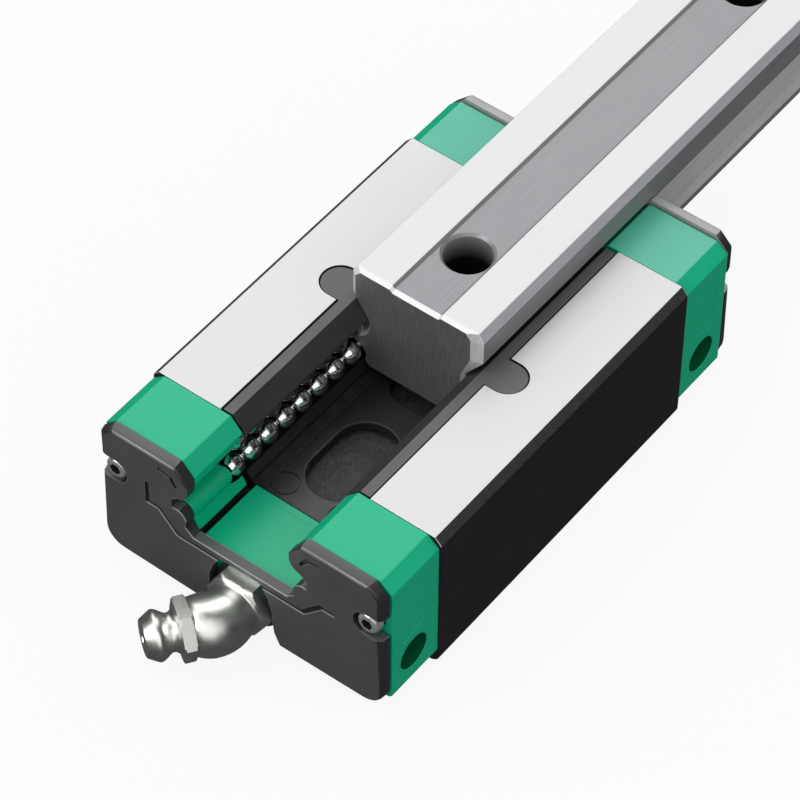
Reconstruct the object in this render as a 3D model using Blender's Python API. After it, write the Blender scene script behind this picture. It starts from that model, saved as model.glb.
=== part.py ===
"""Linear rail with its recirculating-ball carriage, turned over to rest on the carriage's mounting face.

All sizes are millimetres. X runs along the rail, Z points up, and the origin is the middle of the
carriage's mounting face. The rail lies on top with its base face up, pushed halfway into the carriage.
The near end is at -X, and left is +Y.
"""
import math

import bmesh
import bpy
from mathutils import Vector

MM = 0.001

# The two machine faces. A size called DROP is measured down from the rail's base, so the rail, the
# ball rows and the channel stay together when the height changes, and the block's web takes it up.
ASSEMBLY_HEIGHT = 30.0
FIT_GAP = 0.3
CUT_PAST = 1.0

# Rail
RAIL_LENGTH = 80.0
RAIL_WIDTH = 20.0
RAIL_HEIGHT = 17.0
RAIL_NEAR_END = -1.0
RAIL_EDGE_CHAMFER = 0.65
RAIL_END_CHAMFER = 0.8
RAIL_FLANK = 4.9
RAIL_WAIST_WIDTH = 14.8
RAIL_WAIST_DROP = 8.4
RAIL_WAIST_START = 0.3
LOBE_BELOW_BASE_ROW = 2.6
LOBE_ABOVE_HEAD_ROW = 1.9
HEAD_GROOVE_ANGLES = (205.0, 88.0)
BASE_GROOVE_ANGLES = (262.0, 195.0)
RAIL_HEAD_FLAT = 14.2
RELIEF_WIDTH = 7.0
RELIEF_DEPTH = 0.4
BOLT_END_MARGIN = 10.0
BOLT_PITCH = 60.0
BOLT_HOLE_RADIUS = 3.0
COUNTERBORE_RADIUS = 4.75
COUNTERBORE_DEPTH = 8.5

# Ball rows: each place is (y, drop) on the left side, and the right side mirrors it
BALL_RADIUS = 1.67
BALL_CLEARANCE = 0.25
BALLS_PER_CIRCUIT = 36
BASE_ROW_PLACE = (9.4, 9.7)
HEAD_ROW_PLACE = (9.8, 15.3)
BASE_RETURN_PLACE = (15.9, 10.4)
HEAD_RETURN_PLACE = (15.4, 20.4)
CONTACT_CAP_RADIUS = 0.25
TRAIN_OFFSET = -0.75

# Carriage block
BLOCK_LENGTH = 50.5
BLOCK_WIDTH = 44.0
BLOCK_DROP = 6.3
BLOCK_FOOT_RADIUS = 1.6
BLOCK_CHAMFER_WIDTH = 1.2
BLOCK_CHAMFER_DROP = 0.6
SEAL_POCKET_HALF = 11.4
CHANNEL_HALF = 10.45
CHANNEL_FLOOR_DROP = 20.1
ROW_RIB_HALF = 11.35
ROW_RIB_BELOW_BASE_ROW = 1.7
BASE_RACE_ANGLES = (75.0, -35.0)
HEAD_RACE_ANGLES = (35.0, -70.0)
MOUNT_SPACING_X = 36.0
MOUNT_SPACING_Y = 32.0
MOUNT_HOLE_RADIUS = 2.5
MOUNT_HOLE_DEPTH = 6.0

# Return tubes, in bores through the block
TUBE_WALL = 0.25
TUBE_BORE_CLEARANCE = 0.3

# End caps
CAP_LENGTH = 8.8
CAP_SIDE_STEP = 0.5
CAP_BOTTOM = 2.4
CAP_TOP_CHAMFER = 1.6
CAP_FOOT_CHAMFER = 0.5
CAP_THROAT_HALF = 9.75
CAP_NOSE_HALF = 7.95
CAP_NOSE_SLOPE = 1.95
CAP_NOSE_DROP = 9.4
CAP_LOBE_HALF = 10.5
CAP_LOBE_ABOVE = 0.2
CAP_LOBE_BELOW = 0.3
CAP_LIP_HALF = 8.7
CAP_LIP_DROP = 16.1
CAP_FLOOR_HALF = 7.7
CAP_FLOOR_DROP = 18.0
CAP_FLOOR_RISE = 0.8
CAP_TONGUE = 1.15
CAP_TONGUE_HALF = 7.4
PORT_X = 4.5
PORT_HEIGHT = 7.35
PORT_RADIUS = 2.55
PORT_DEPTH = 2.0
PANEL_LOW_DROP = 18.3
PANEL_HIGH_DROP = 10.1
PANEL_START = 2.9
PANEL_DEPTH = 0.25

# Turn guides, the D-shaped spools that the balls go round inside the end caps
GUIDE_THICKNESS = 2.6
GUIDE_POCKET_THICKNESS = 3.2

# End seals
SEAL_THICKNESS = 1.5
SEAL_SIDE_STEP = 0.2
SEAL_BOTTOM = 1.8
SEAL_TOP_CHAMFER = 2.0
SEAL_FOOT_RADIUS = 3.0
SEAL_EDGE_BEVEL = 0.5
SEAL_LIP_CLEARANCE = 0.35
SEAL_RECESS_DEPTH = 0.7
SEAL_RECESS_HALF = 14.2
SEAL_RECESS_STEP = 12.3
SEAL_RECESS_KNEE = 9.7
SEAL_RECESS_LOW_DROP = 17.9
SEAL_RECESS_MIDDLE_DROP = 15.0
SEAL_RECESS_HIGH_DROP = 11.7
SEAL_NOSE_STEP = 0.1
NOTCH_HALF_HEIGHT = 1.9
NOTCH_SHIFT = 0.1
ARCH_RADIUS = 4.95
ARCH_FOOT_STEP = 0.2
ARCH_FOOT_HALF = 6.0
ARCH_FOOT_RISE = 2.2

# Bottom seal strips
STRIP_TOP_DROP = 0.15
STRIP_FACE_HALF = 9.75
STRIP_LIP_HALF = 7.62
STRIP_LIP_HIGH_DROP = 8.55
STRIP_LIP_LOW_DROP = 8.85
STRIP_THICKNESS = 0.8
STRIP_SHELF_STEP = 0.2
STRIP_RELIEF_ANGLES = (97.0, 156.0)
STRIP_END_GAP = 0.3
TAB_RADIUS = 2.5
TAB_REACH = 12.9
TAB_ROOT = 0.2
TAB_THICKNESS = 0.7
TAB_RECESS_DEPTH = 1.2

# Retainers
RETAINER_DROP = 18.4
RETAINER_RIB_INNER = 5.85
RETAINER_RIB_OUTER = 6.7
RETAINER_RIB_HEIGHT = 0.25
RETAINER_LEDGE_HALF = 7.75
RETAINER_LEDGE_DROP = 17.9
RETAINER_LEDGE_SLOPE = (0.4, 0.5)
RETAINER_RELIEF_ANGLES = (264.0, 228.0)
WINDOW_WIDTH = 8.4
WINDOW_LENGTH = 13.5
WINDOW_CENTRE = 14.0
MIDDLE_WINDOW_LENGTH = 5.6
MARK_RADIUS = 1.85
MARK_DEPTH = 0.15
MARK_X = 21.8
MARK_Y = 4.4
ROW_RETAINER_THICKNESS = 0.7
ROW_RETAINER_HEIGHT = 1.6
ROW_RETAINER_BEVEL = 0.15

# Cap screws
SCREW_SIDE_STEP = 2.2
SCREW_DROP = 13.25
SCREW_RADIUS = 1.25
SCREW_REACH = 6.5
SCREW_HOLE_SPARE = 1.0
SCREW_TIP_CHAMFER = (0.3, 0.25)
SCREW_HEAD_RADIUS = 1.55
SCREW_HEAD_HEIGHT = 1.4
SCREW_HEAD_CHAMFER = (0.4, 0.3)
SCREW_SOCKET_RADIUS = 0.75
SCREW_SOCKET_DEPTH = 0.7

# Grease nipple and the plug in the far end's port
NIPPLE_HEIGHT = 6.0
NIPPLE_THREAD_RADIUS = 2.95
NIPPLE_THREAD_LENGTH = 4.6
THREAD_CHAMFER = (0.4, 0.35)
LUBE_HOLE_SPARE = 1.2
NIPPLE_HEX = 8.0
NIPPLE_HEX_LENGTH = 2.65
NIPPLE_HEX_CHAMFER = (0.35, 0.1)
NIPPLE_BODY_RADIUS = 3.5
NIPPLE_BEND_X = 5.05
NIPPLE_BEND_ANGLE = 35.5
NIPPLE_COLLAR_HEX = 7.0
NIPPLE_COLLAR_START = 3.7
NIPPLE_COLLAR_LENGTH = 1.6
NIPPLE_COLLAR_STEP = 0.2
NIPPLE_NECK_FILLET = 0.5
NIPPLE_NECK_RADIUS = 2.45
NIPPLE_NECK_REACH = 6.6
NIPPLE_HEAD_RADIUS = 3.3
NIPPLE_HEAD_REACH = 8.1
NIPPLE_HEAD_ROUND = (0.3, 0.1)
NIPPLE_TIP_RADIUS = 2.4
NIPPLE_REACH = 9.9
NIPPLE_MOUTH_RADIUS = 0.75
NIPPLE_MOUTH_DEPTH = 1.2
NIPPLE_CHAMBER_RADIUS = 1.55
NIPPLE_CHAMBER_START = 2.1
NIPPLE_PASSAGE_RADIUS = 1.0
PASSAGE_LAP = 0.3
PASSAGE_NARROWING = 0.97
CHECK_BALL_RADIUS = 1.2
CHECK_BALL_TRAVEL = 0.6
SPRING_RADIUS = 1.05
SPRING_WIRE_RADIUS = 0.2
SPRING_TURNS = 3.5
SPRING_CLEARANCE = 0.1
PLUG_LENGTH = 4.5
PLUG_CHAMFER = 0.3
PLUG_SOCKET_RADIUS = 1.5
PLUG_SOCKET_DEPTH = 2.0

ROUND_SIDES = 18
BORE_SIDES = 16
SMALL_SIDES = 12
BALL_SIDES = 8
BALL_BELT_ANGLE = 62.0
TURN_STEPS = 7

GROOVE_RADIUS = BALL_RADIUS + BALL_CLEARANCE
BLOCK_END = BLOCK_LENGTH / 2
CAP_INNER = BLOCK_END + FIT_GAP
CAP_OUTER = CAP_INNER + CAP_LENGTH
SEAL_INNER = CAP_OUTER + FIT_GAP
SEAL_OUTER = SEAL_INNER + SEAL_THICKNESS
CAP_WIDTH = BLOCK_WIDTH - 2 * CAP_SIDE_STEP
SEAL_WIDTH = CAP_WIDTH - 2 * SEAL_SIDE_STEP
RAIL_HEAD = ASSEMBLY_HEIGHT - RAIL_HEIGHT
BASE_ROW, HEAD_ROW, BASE_RETURN, HEAD_RETURN = (
    (y, ASSEMBLY_HEIGHT - drop)
    for y, drop in (BASE_ROW_PLACE, HEAD_ROW_PLACE, BASE_RETURN_PLACE, HEAD_RETURN_PLACE)
)
RAIL_LOBE_HIGH = BASE_ROW[1] - LOBE_BELOW_BASE_ROW
RAIL_LOBE_LOW = HEAD_ROW[1] + LOBE_ABOVE_HEAD_ROW
BLOCK_HEIGHT = ASSEMBLY_HEIGHT - BLOCK_DROP
CHANNEL_FLOOR = ASSEMBLY_HEIGHT - CHANNEL_FLOOR_DROP
CAP_FLOOR = ASSEMBLY_HEIGHT - CAP_FLOOR_DROP
RETAINER_TOP = ASSEMBLY_HEIGHT - RETAINER_DROP
STRIP_TOP = BLOCK_HEIGHT - STRIP_TOP_DROP
SCREW_Y = CAP_WIDTH / 2 - SCREW_SIDE_STEP
SCREW_Z = ASSEMBLY_HEIGHT - SCREW_DROP
TUBE_INNER_RADIUS = BALL_RADIUS + BALL_CLEARANCE
TUBE_OUTER_RADIUS = TUBE_INNER_RADIUS + TUBE_WALL
ROWS = {"base": (BASE_ROW, BASE_RETURN), "head": (HEAD_ROW, HEAD_RETURN)}
SIDES = {"left": 1, "right": -1}
ENDS = {"near": -1, "far": 1}


def finish(name, color, roughness, metallic):
    """A Principled material with one colour."""
    material = bpy.data.materials.new(name)
    material.use_nodes = True
    shader = material.node_tree.nodes["Principled BSDF"]
    shader.inputs["Base Color"].default_value = (*color, 1.0)
    shader.inputs["Roughness"].default_value = roughness
    shader.inputs["Metallic"].default_value = metallic
    material.diffuse_color = (*color, 1.0)
    return material


def clear_scene():
    for obj in list(bpy.data.objects):
        bpy.data.objects.remove(obj, do_unlink=True)


def loft(name, sections, material=None, closed=False):
    """One closed body through equal sections of points, in millimetres.

    A closed loft joins the last section to the first, as a tube's inner wall joins its outer wall.
    """
    bm = bmesh.new()
    rings = [[bm.verts.new(Vector(point) * MM) for point in section] for section in sections]
    pairs = list(zip(rings, rings[1:]))
    if closed:
        pairs.append((rings[-1], rings[0]))
    count = len(rings[0])
    for low, high in pairs:
        for i in range(count):
            j = (i + 1) % count
            bm.faces.new((low[i], low[j], high[j], high[i]))
    if not closed:
        bm.faces.new(rings[0])
        bm.faces.new(rings[-1])
    bmesh.ops.recalc_face_normals(bm, faces=bm.faces[:])
    mesh = bpy.data.meshes.new(name)
    bm.to_mesh(mesh)
    bm.free()
    obj = bpy.data.objects.new(name, mesh)
    bpy.context.scene.collection.objects.link(obj)
    if material:
        mesh.materials.append(material)
    return obj


def smooth(obj, angle=35.0):
    """Round sides shade smooth, and edges sharper than the angle stay crisp."""
    obj.data.shade_smooth()
    obj.data.set_sharp_from_angle(angle=math.radians(angle))


def combine(obj, tools, operation):
    """Join the tools to the object or take them out of it, and keep them as hidden guides."""
    for tool in tools:
        tool.name = f"{operation.lower()}_{obj.name}_{len(obj.modifiers):02d}"
        tool.hide_render = True
        tool.display_type = "WIRE"
        modifier = obj.modifiers.new(tool.name, "BOOLEAN")
        modifier.operation = operation
        modifier.solver = "EXACT"
        modifier.object = tool


def cut(obj, cutters):
    combine(obj, cutters, "DIFFERENCE")


def at_x(x, outline):
    """An outline of (y, z) points as a section across the rail's axis."""
    return [(x, y, z) for y, z in outline]


def prism(name, outline, x_from, x_to, material=None):
    return loft(name, [at_x(x_from, outline), at_x(x_to, outline)], material)


def arc(centre, radius, start, end, steps):
    """Points on a circle about (y, z), between two angles in degrees."""
    angles = [math.radians(start + (end - start) * i / steps) for i in range(steps + 1)]
    return [(centre[0] + radius * math.cos(a), centre[1] + radius * math.sin(a)) for a in angles]


def mirrored(half):
    """The full outline of a shape, from the half on the left of the rail's axis."""
    other = [(-y, z) for y, z in reversed(half) if y > 1e-6]
    return half + other


def inset(outline, distance):
    """The outline moved by a distance along its own normals, inwards where it is positive."""
    area = sum(a[0] * b[1] - b[0] * a[1] for a, b in zip(outline, outline[1:] + outline[:1]))
    turn = 1.0 if area > 0 else -1.0
    moved = []
    for i, point in enumerate(outline):
        here = Vector(point)
        before = (here - Vector(outline[i - 1])).normalized()
        after = (Vector(outline[(i + 1) % len(outline)]) - here).normalized()
        normal_before = Vector((-before.y, before.x)) * turn
        normal_after = Vector((-after.y, after.x)) * turn
        bisector = (normal_before + normal_after).normalized()
        moved.append(tuple(here + bisector * distance / bisector.dot(normal_before)))
    return moved


def ring(centre, across, up, radius, sides=ROUND_SIDES):
    """A circle of points about a centre, in the plane of two unit vectors."""
    angles = [2 * math.pi * i / sides for i in range(sides)]
    return [centre + (across * math.cos(a) + up * math.sin(a)) * radius for a in angles]


def hexagon(centre, across, up, width, sides=ROUND_SIDES):
    """A hexagon of a width across its flats, drawn with as many points as a ring, flats facing up."""
    points = []
    for i in range(sides):
        angle = 360.0 * i / sides
        radius = width / 2 / math.cos(math.radians(angle % 60.0 - 30.0))
        direction = across * math.cos(math.radians(angle)) + up * math.sin(math.radians(angle))
        points.append(centre + direction * radius)
    return points


def x_ring(x, place, radius, sides=ROUND_SIDES):
    return ring(Vector((x, *place)), Vector((0, 1, 0)), Vector((0, 0, 1)), radius, sides)


def x_rod(name, x_from, x_to, place, radius, sides=ROUND_SIDES):
    """A round bar along X."""
    return loft(name, [x_ring(x_from, place, radius, sides), x_ring(x_to, place, radius, sides)])


def rod(name, start, end, radius, sides=ROUND_SIDES):
    """A round bar between any two points."""
    axis = (end - start).normalized()
    across = axis.orthogonal().normalized()
    up = axis.cross(across)
    return loft(name, [ring(start, across, up, radius, sides), ring(end, across, up, radius, sides)])


def turned_x(name, place, profile, direction, sides, material):
    """A turned piece along X: the profile holds (x, radius) pairs from one end to the other."""
    sections = [x_ring(direction * x, place, radius, sides) for x, radius in profile]
    return loft(name, sections, material)


def rail_outline():
    """The rail's section, with a waist, two ball grooves on each side and a relieved base."""
    half_width = RAIL_WIDTH / 2
    base = ASSEMBLY_HEIGHT
    waist = RAIL_WAIST_WIDTH / 2
    waist_height = base - RAIL_WAIST_DROP
    half = [
        (RAIL_HEAD_FLAT / 2, RAIL_HEAD),
        *arc(HEAD_ROW, GROOVE_RADIUS, *HEAD_GROOVE_ANGLES, 7),
        (half_width, RAIL_LOBE_LOW),
        (half_width, RAIL_LOBE_HIGH),
        *arc(BASE_ROW, GROOVE_RADIUS, *BASE_GROOVE_ANGLES, 5),
        (waist, BASE_ROW[1] + RAIL_WAIST_START),
        (waist, waist_height),
        (half_width, base - RAIL_FLANK),
        (half_width, base - RAIL_EDGE_CHAMFER),
        (half_width - RAIL_EDGE_CHAMFER, base),
        (RELIEF_WIDTH / 2 + RELIEF_DEPTH, base),
        (RELIEF_WIDTH / 2, base - RELIEF_DEPTH),
    ]
    return mirrored(half)


def build_rail(material):
    outline = rail_outline()
    chamfered = inset(outline, RAIL_END_CHAMFER)
    near = RAIL_NEAR_END
    far = near + RAIL_LENGTH
    sections = [
        at_x(near, chamfered),
        at_x(near + RAIL_END_CHAMFER, outline),
        at_x(far - RAIL_END_CHAMFER, outline),
        at_x(far, chamfered),
    ]
    rail = loft("rail", sections, material)
    cutters = []
    bolt_x = near + BOLT_END_MARGIN
    while bolt_x < far - COUNTERBORE_RADIUS:
        through = (Vector((bolt_x, 0, RAIL_HEAD - CUT_PAST)), Vector((bolt_x, 0, ASSEMBLY_HEIGHT + CUT_PAST)))
        cutters.append(rod("bolt hole", *through, BOLT_HOLE_RADIUS))
        seat = Vector((bolt_x, 0, RAIL_HEAD + COUNTERBORE_DEPTH))
        cutters.append(rod("counterbore", through[0], seat, COUNTERBORE_RADIUS))
        bolt_x += BOLT_PITCH
    cut(rail, cutters)
    smooth(rail)
    return rail


def block_outline():
    """The carriage block's section: a U with four ball races and the floor under the retainer."""
    half_width = BLOCK_WIDTH / 2
    strip_shelf = STRIP_TOP - STRIP_THICKNESS - FIT_GAP
    foot = (half_width - BLOCK_FOOT_RADIUS, BLOCK_FOOT_RADIUS)
    half = [
        *arc(foot, BLOCK_FOOT_RADIUS, -90, 0, 4),
        (half_width, BLOCK_HEIGHT - BLOCK_CHAMFER_DROP),
        (half_width - BLOCK_CHAMFER_WIDTH, BLOCK_HEIGHT),
        (SEAL_POCKET_HALF, BLOCK_HEIGHT),
        (SEAL_POCKET_HALF, strip_shelf),
        *arc(BASE_ROW, GROOVE_RADIUS, *BASE_RACE_ANGLES, 6),
        (ROW_RIB_HALF, BASE_ROW[1] - ROW_RIB_BELOW_BASE_ROW),
        *arc(HEAD_ROW, GROOVE_RADIUS, *HEAD_RACE_ANGLES, 6),
        (CHANNEL_HALF, CHANNEL_FLOOR),
    ]
    return mirrored(half)


def build_block(material):
    block = prism("carriage_block", block_outline(), -BLOCK_END, BLOCK_END, material)
    cutters = []
    for side in SIDES.values():
        for _, (y, z) in ROWS.values():
            radius = TUBE_OUTER_RADIUS + TUBE_BORE_CLEARANCE
            reach = BLOCK_END + CUT_PAST
            cutters.append(x_rod("return bore", -reach, reach, (side * y, z), radius, BORE_SIDES))
        for end in ENDS.values():
            depth = BLOCK_END - SCREW_REACH - SCREW_HOLE_SPARE
            place = (side * SCREW_Y, SCREW_Z)
            radius = SCREW_RADIUS + FIT_GAP
            mouth = end * (BLOCK_END + CUT_PAST)
            cutters.append(x_rod("screw hole", mouth, end * depth, place, radius, SMALL_SIDES))
            mount = Vector((end * MOUNT_SPACING_X / 2, side * MOUNT_SPACING_Y / 2, 0))
            down = mount - Vector((0, 0, CUT_PAST))
            top = mount + Vector((0, 0, MOUNT_HOLE_DEPTH))
            cutters.append(rod("mount hole", down, top, MOUNT_HOLE_RADIUS, BORE_SIDES))
        recess = (BLOCK_HEIGHT - TAB_RECESS_DEPTH, BLOCK_HEIGHT + CUT_PAST)
        cutters.append(tab("tab recess", side, FIT_GAP, *recess))
    cut(block, cutters)
    smooth(block)
    return block


def tab(name, side, growth, low, high, material=None):
    """The half-round tab at a strip's middle, grown by a clearance for its recess."""
    radius = TAB_RADIUS + growth
    root = SEAL_POCKET_HALF - FIT_GAP - TAB_ROOT
    outline = [(-radius, root)]
    outline += [(x, y) for x, y in arc((0.0, TAB_REACH), radius, 180, 0, 10)]
    outline += [(radius, root)]
    sections = [[(x, side * y, z) for x, y in outline] for z in (low, high)]
    return loft(name, sections, material)


def strip_outline():
    """A bottom seal strip's section: a shelf on the block and a lip between the balls and the rail."""
    shelf = STRIP_TOP - STRIP_THICKNESS
    return [
        (SEAL_POCKET_HALF - FIT_GAP, STRIP_TOP),
        (SEAL_POCKET_HALF - FIT_GAP, shelf),
        (BASE_ROW[0] + STRIP_SHELF_STEP, shelf),
        *arc(BASE_ROW, GROOVE_RADIUS, *STRIP_RELIEF_ANGLES, 5),
        (STRIP_LIP_HALF, ASSEMBLY_HEIGHT - STRIP_LIP_LOW_DROP),
        (STRIP_LIP_HALF, ASSEMBLY_HEIGHT - STRIP_LIP_HIGH_DROP),
        (STRIP_FACE_HALF, STRIP_TOP),
    ]


def build_strip(side_name, side, material):
    outline = [(side * y, z) for y, z in strip_outline()]
    reach = BLOCK_END - STRIP_END_GAP
    strip = prism(f"bottom_seal_{side_name}", outline, -reach, reach, material)
    combine(strip, [tab("tab", side, 0.0, STRIP_TOP - TAB_THICKNESS, STRIP_TOP)], "UNION")
    return strip


def retainer_outline():
    """The plate on the channel's floor, with a flange under each head row."""
    bottom = CHANNEL_FLOOR + FIT_GAP
    side = CHANNEL_HALF - FIT_GAP
    rib_top = RETAINER_TOP + RETAINER_RIB_HEIGHT
    ledge = ASSEMBLY_HEIGHT - RETAINER_LEDGE_DROP
    slope_width, slope_rise = RETAINER_LEDGE_SLOPE
    half = [
        (side, bottom),
        (side, HEAD_ROW[1] - GROOVE_RADIUS),
        *arc(HEAD_ROW, GROOVE_RADIUS, *RETAINER_RELIEF_ANGLES, 3),
        (RETAINER_LEDGE_HALF + slope_width, ledge + slope_rise),
        (RETAINER_LEDGE_HALF, ledge),
        (RETAINER_LEDGE_HALF, RETAINER_TOP),
        (RETAINER_RIB_OUTER, RETAINER_TOP),
        (RETAINER_RIB_OUTER, rib_top),
        (RETAINER_RIB_INNER, rib_top),
        (RETAINER_RIB_INNER, RETAINER_TOP),
    ]
    return mirrored(half)


def window(name, centre_x, length, width):
    """A cutter with round ends: the rounding follows the shorter of its two sizes."""
    radius = min(length, width) / 2
    along = length / 2 - radius
    across = width / 2 - radius
    outline = []
    for start, (sx, sy) in zip((0, 90, 180, 270), ((1, 1), (-1, 1), (-1, -1), (1, -1))):
        outline += arc((centre_x + sx * along, sy * across), radius, start, start + 90, 5)
    unique = [p for i, p in enumerate(outline) if math.dist(p, outline[i - 1]) > 1e-6]
    return loft(name, [[(x, y, z) for x, y in unique] for z in (CHANNEL_FLOOR, RETAINER_TOP + CUT_PAST)])


def build_centre_retainer(material):
    reach = CAP_INNER - CAP_TONGUE - FIT_GAP
    plate = prism("centre_retainer", retainer_outline(), -reach, reach, material)
    cutters = [window("middle window", 0.0, MIDDLE_WINDOW_LENGTH, WINDOW_WIDTH)]
    for end in ENDS.values():
        cutters.append(window("window", end * WINDOW_CENTRE, WINDOW_LENGTH, WINDOW_WIDTH))
        for side in SIDES.values():
            mark = Vector((end * MARK_X, side * MARK_Y, RETAINER_TOP - MARK_DEPTH))
            above = mark + Vector((0, 0, CUT_PAST))
            cutters.append(rod("moulding mark", mark, above, MARK_RADIUS, BORE_SIDES))
    cut(plate, cutters)
    return plate


def build_row_retainer(side_name, side, material):
    """The slim bar that keeps the two rows of one side apart, against the block's rib."""
    outer = ROW_RIB_HALF - FIT_GAP
    middle = (BASE_ROW[1] + HEAD_ROW[1]) / 2
    low = middle - ROW_RETAINER_HEIGHT / 2
    high = middle + ROW_RETAINER_HEIGHT / 2
    bevel = ROW_RETAINER_BEVEL
    inner = outer - ROW_RETAINER_THICKNESS
    outline = [(outer, low), (outer, high), (inner + bevel, high), (inner, high - bevel),
               (inner, low + bevel), (inner + bevel, low)]
    reach = BLOCK_END - STRIP_END_GAP
    sided = [(side * y, z) for y, z in outline]
    return prism(f"row_retainer_{side_name}", sided, -reach, reach, material)


def build_tube(name, place, material):
    reach = BLOCK_END - STRIP_END_GAP
    sections = [
        x_ring(-reach, place, TUBE_OUTER_RADIUS, BORE_SIDES),
        x_ring(reach, place, TUBE_OUTER_RADIUS, BORE_SIDES),
        x_ring(reach, place, TUBE_INNER_RADIUS, BORE_SIDES),
        x_ring(-reach, place, TUBE_INNER_RADIUS, BORE_SIDES),
    ]
    tube = loft(name, sections, material, closed=True)
    smooth(tube)
    return tube


def circuit_frame(row, side):
    """The loaded line, the return line, the turn's radius and the unit vector between the lines."""
    loaded = Vector((0, side * row[0][0], row[0][1]))
    back = Vector((0, side * row[1][0], row[1][1]))
    between = back - loaded
    return loaded, back, between.length / 2, between.normalized()


def circuit_point(row, side, distance):
    """The place, direction and width vector on a ball circuit, at a distance from mid-load.

    The circuit runs along the loaded row towards +X, round the far turn, back through the
    return tube and round the near turn.
    """
    loaded, back, turn_radius, outward = circuit_frame(row, side)
    straight = BLOCK_LENGTH
    bend = math.pi * turn_radius
    total = 2 * (straight + bend)
    s = distance % total
    x_axis = Vector((1, 0, 0))
    if s <= straight / 2:
        return loaded + x_axis * s, x_axis, outward
    s -= straight / 2
    if s <= bend:
        a = s / turn_radius
        centre = (loaded + back) / 2 + x_axis * BLOCK_END
        place = centre - outward * turn_radius * math.cos(a) + x_axis * turn_radius * math.sin(a)
        direction = outward * math.sin(a) + x_axis * math.cos(a)
        return place, direction, outward * math.cos(a) - x_axis * math.sin(a)
    s -= bend
    if s <= straight:
        return back + x_axis * (BLOCK_END - s), -x_axis, -outward
    s -= straight
    if s <= bend:
        a = s / turn_radius
        centre = (loaded + back) / 2 - x_axis * BLOCK_END
        place = centre + outward * turn_radius * math.cos(a) - x_axis * turn_radius * math.sin(a)
        direction = -outward * math.sin(a) - x_axis * math.cos(a)
        return place, direction, x_axis * math.sin(a) - outward * math.cos(a)
    s -= bend
    return loaded + x_axis * (s - BLOCK_END), x_axis, outward


def build_ball_circuit(name, row, side, material):
    """The train of touching balls in one circuit: loaded row, two turns and the return tube.

    Neighbours touch, so their facing caps share a small flat, and the train is one body. A short
    length stays free in the return tube, as the slack that lets the balls circulate.
    """
    pitch = 2 * math.sqrt(BALL_RADIUS ** 2 - CONTACT_CAP_RADIUS ** 2)
    _, _, turn_radius, _ = circuit_frame(row, side)
    total = 2 * (BLOCK_LENGTH + math.pi * turn_radius)
    count = min(BALLS_PER_CIRCUIT, int(total / pitch))
    first = total / 2 + (total - count * pitch) / 2 + TRAIN_OFFSET
    sections = []
    for number in range(count):
        middle = first + (number + 0.5) * pitch
        belt = BALL_RADIUS * math.cos(math.radians(BALL_BELT_ANGLE))
        belt_radius = BALL_RADIUS * math.sin(math.radians(BALL_BELT_ANGLE))
        for offset, radius in ((-pitch / 2, CONTACT_CAP_RADIUS), (-belt, belt_radius), (belt, belt_radius)):
            sections.append(circuit_section(row, side, middle + offset, radius))
    sections.append(circuit_section(row, side, first + count * pitch, CONTACT_CAP_RADIUS))
    train = loft(name, sections, material)
    smooth(train, 60.0)
    return train


def circuit_section(row, side, distance, radius):
    place, direction, width = circuit_point(row, side, distance)
    return ring(place, width, direction.cross(width), radius, BALL_SIDES)


def half_turn(name, row, side, end, radius):
    """The tunnel that a ball sweeps round one turn."""
    loaded, back, turn_radius, outward = circuit_frame(row, side)
    x_axis = Vector((end, 0, 0))
    centre = (loaded + back) / 2 + x_axis * BLOCK_END
    normal = outward.cross(x_axis)
    sections = []
    for i in range(TURN_STEPS + 1):
        a = math.pi * i / TURN_STEPS
        spoke = -outward * math.cos(a) + x_axis * math.sin(a)
        sections.append(ring(centre + spoke * turn_radius, spoke, normal, radius, BALL_SIDES))
    lead = x_axis * -0.5
    sections.insert(0, [point + lead for point in sections[0]])
    sections.append([point + lead for point in sections[-1]])
    return loft(name, sections)


def half_disc(name, row, side, end, radius, thickness, flat_x, material=None):
    """A D-shaped slab round one turn's centre, with its flat towards the block at a given X."""
    loaded, back, _, outward = circuit_frame(row, side)
    x_axis = Vector((end, 0, 0))
    centre = (loaded + back) / 2 + x_axis * BLOCK_END
    normal = outward.cross(x_axis).normalized()
    start = math.asin((flat_x - BLOCK_END) / radius)
    sections = []
    for offset in (-thickness / 2, thickness / 2):
        rim = []
        for i in range(11):
            a = start + (math.pi - 2 * start) * i / 10
            rim.append(centre + (outward * math.cos(a) + x_axis * math.sin(a)) * radius + normal * offset)
        sections.append(rim)
    return loft(name, sections, material)


def cap_outline():
    """An end cap's section: the block's outline set in, and a throat that clears the rail."""
    half_width = CAP_WIDTH / 2
    half = [
        (half_width - CAP_FOOT_CHAMFER, CAP_BOTTOM),
        (half_width, CAP_BOTTOM + CAP_FOOT_CHAMFER),
        (half_width, BLOCK_HEIGHT - CAP_TOP_CHAMFER),
        (half_width - CAP_TOP_CHAMFER, BLOCK_HEIGHT),
        (CAP_THROAT_HALF, BLOCK_HEIGHT),
        (CAP_NOSE_HALF, BLOCK_HEIGHT - CAP_NOSE_SLOPE),
        (CAP_NOSE_HALF, ASSEMBLY_HEIGHT - CAP_NOSE_DROP),
        (CAP_LOBE_HALF, RAIL_LOBE_HIGH + CAP_LOBE_ABOVE),
        (CAP_LOBE_HALF, RAIL_LOBE_LOW - CAP_LOBE_BELOW),
        (CAP_LIP_HALF, ASSEMBLY_HEIGHT - CAP_LIP_DROP),
        (CAP_FLOOR_HALF, CAP_FLOOR + CAP_FLOOR_RISE),
        (CAP_FLOOR_HALF, CAP_FLOOR),
    ]
    return mirrored(half)


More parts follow.
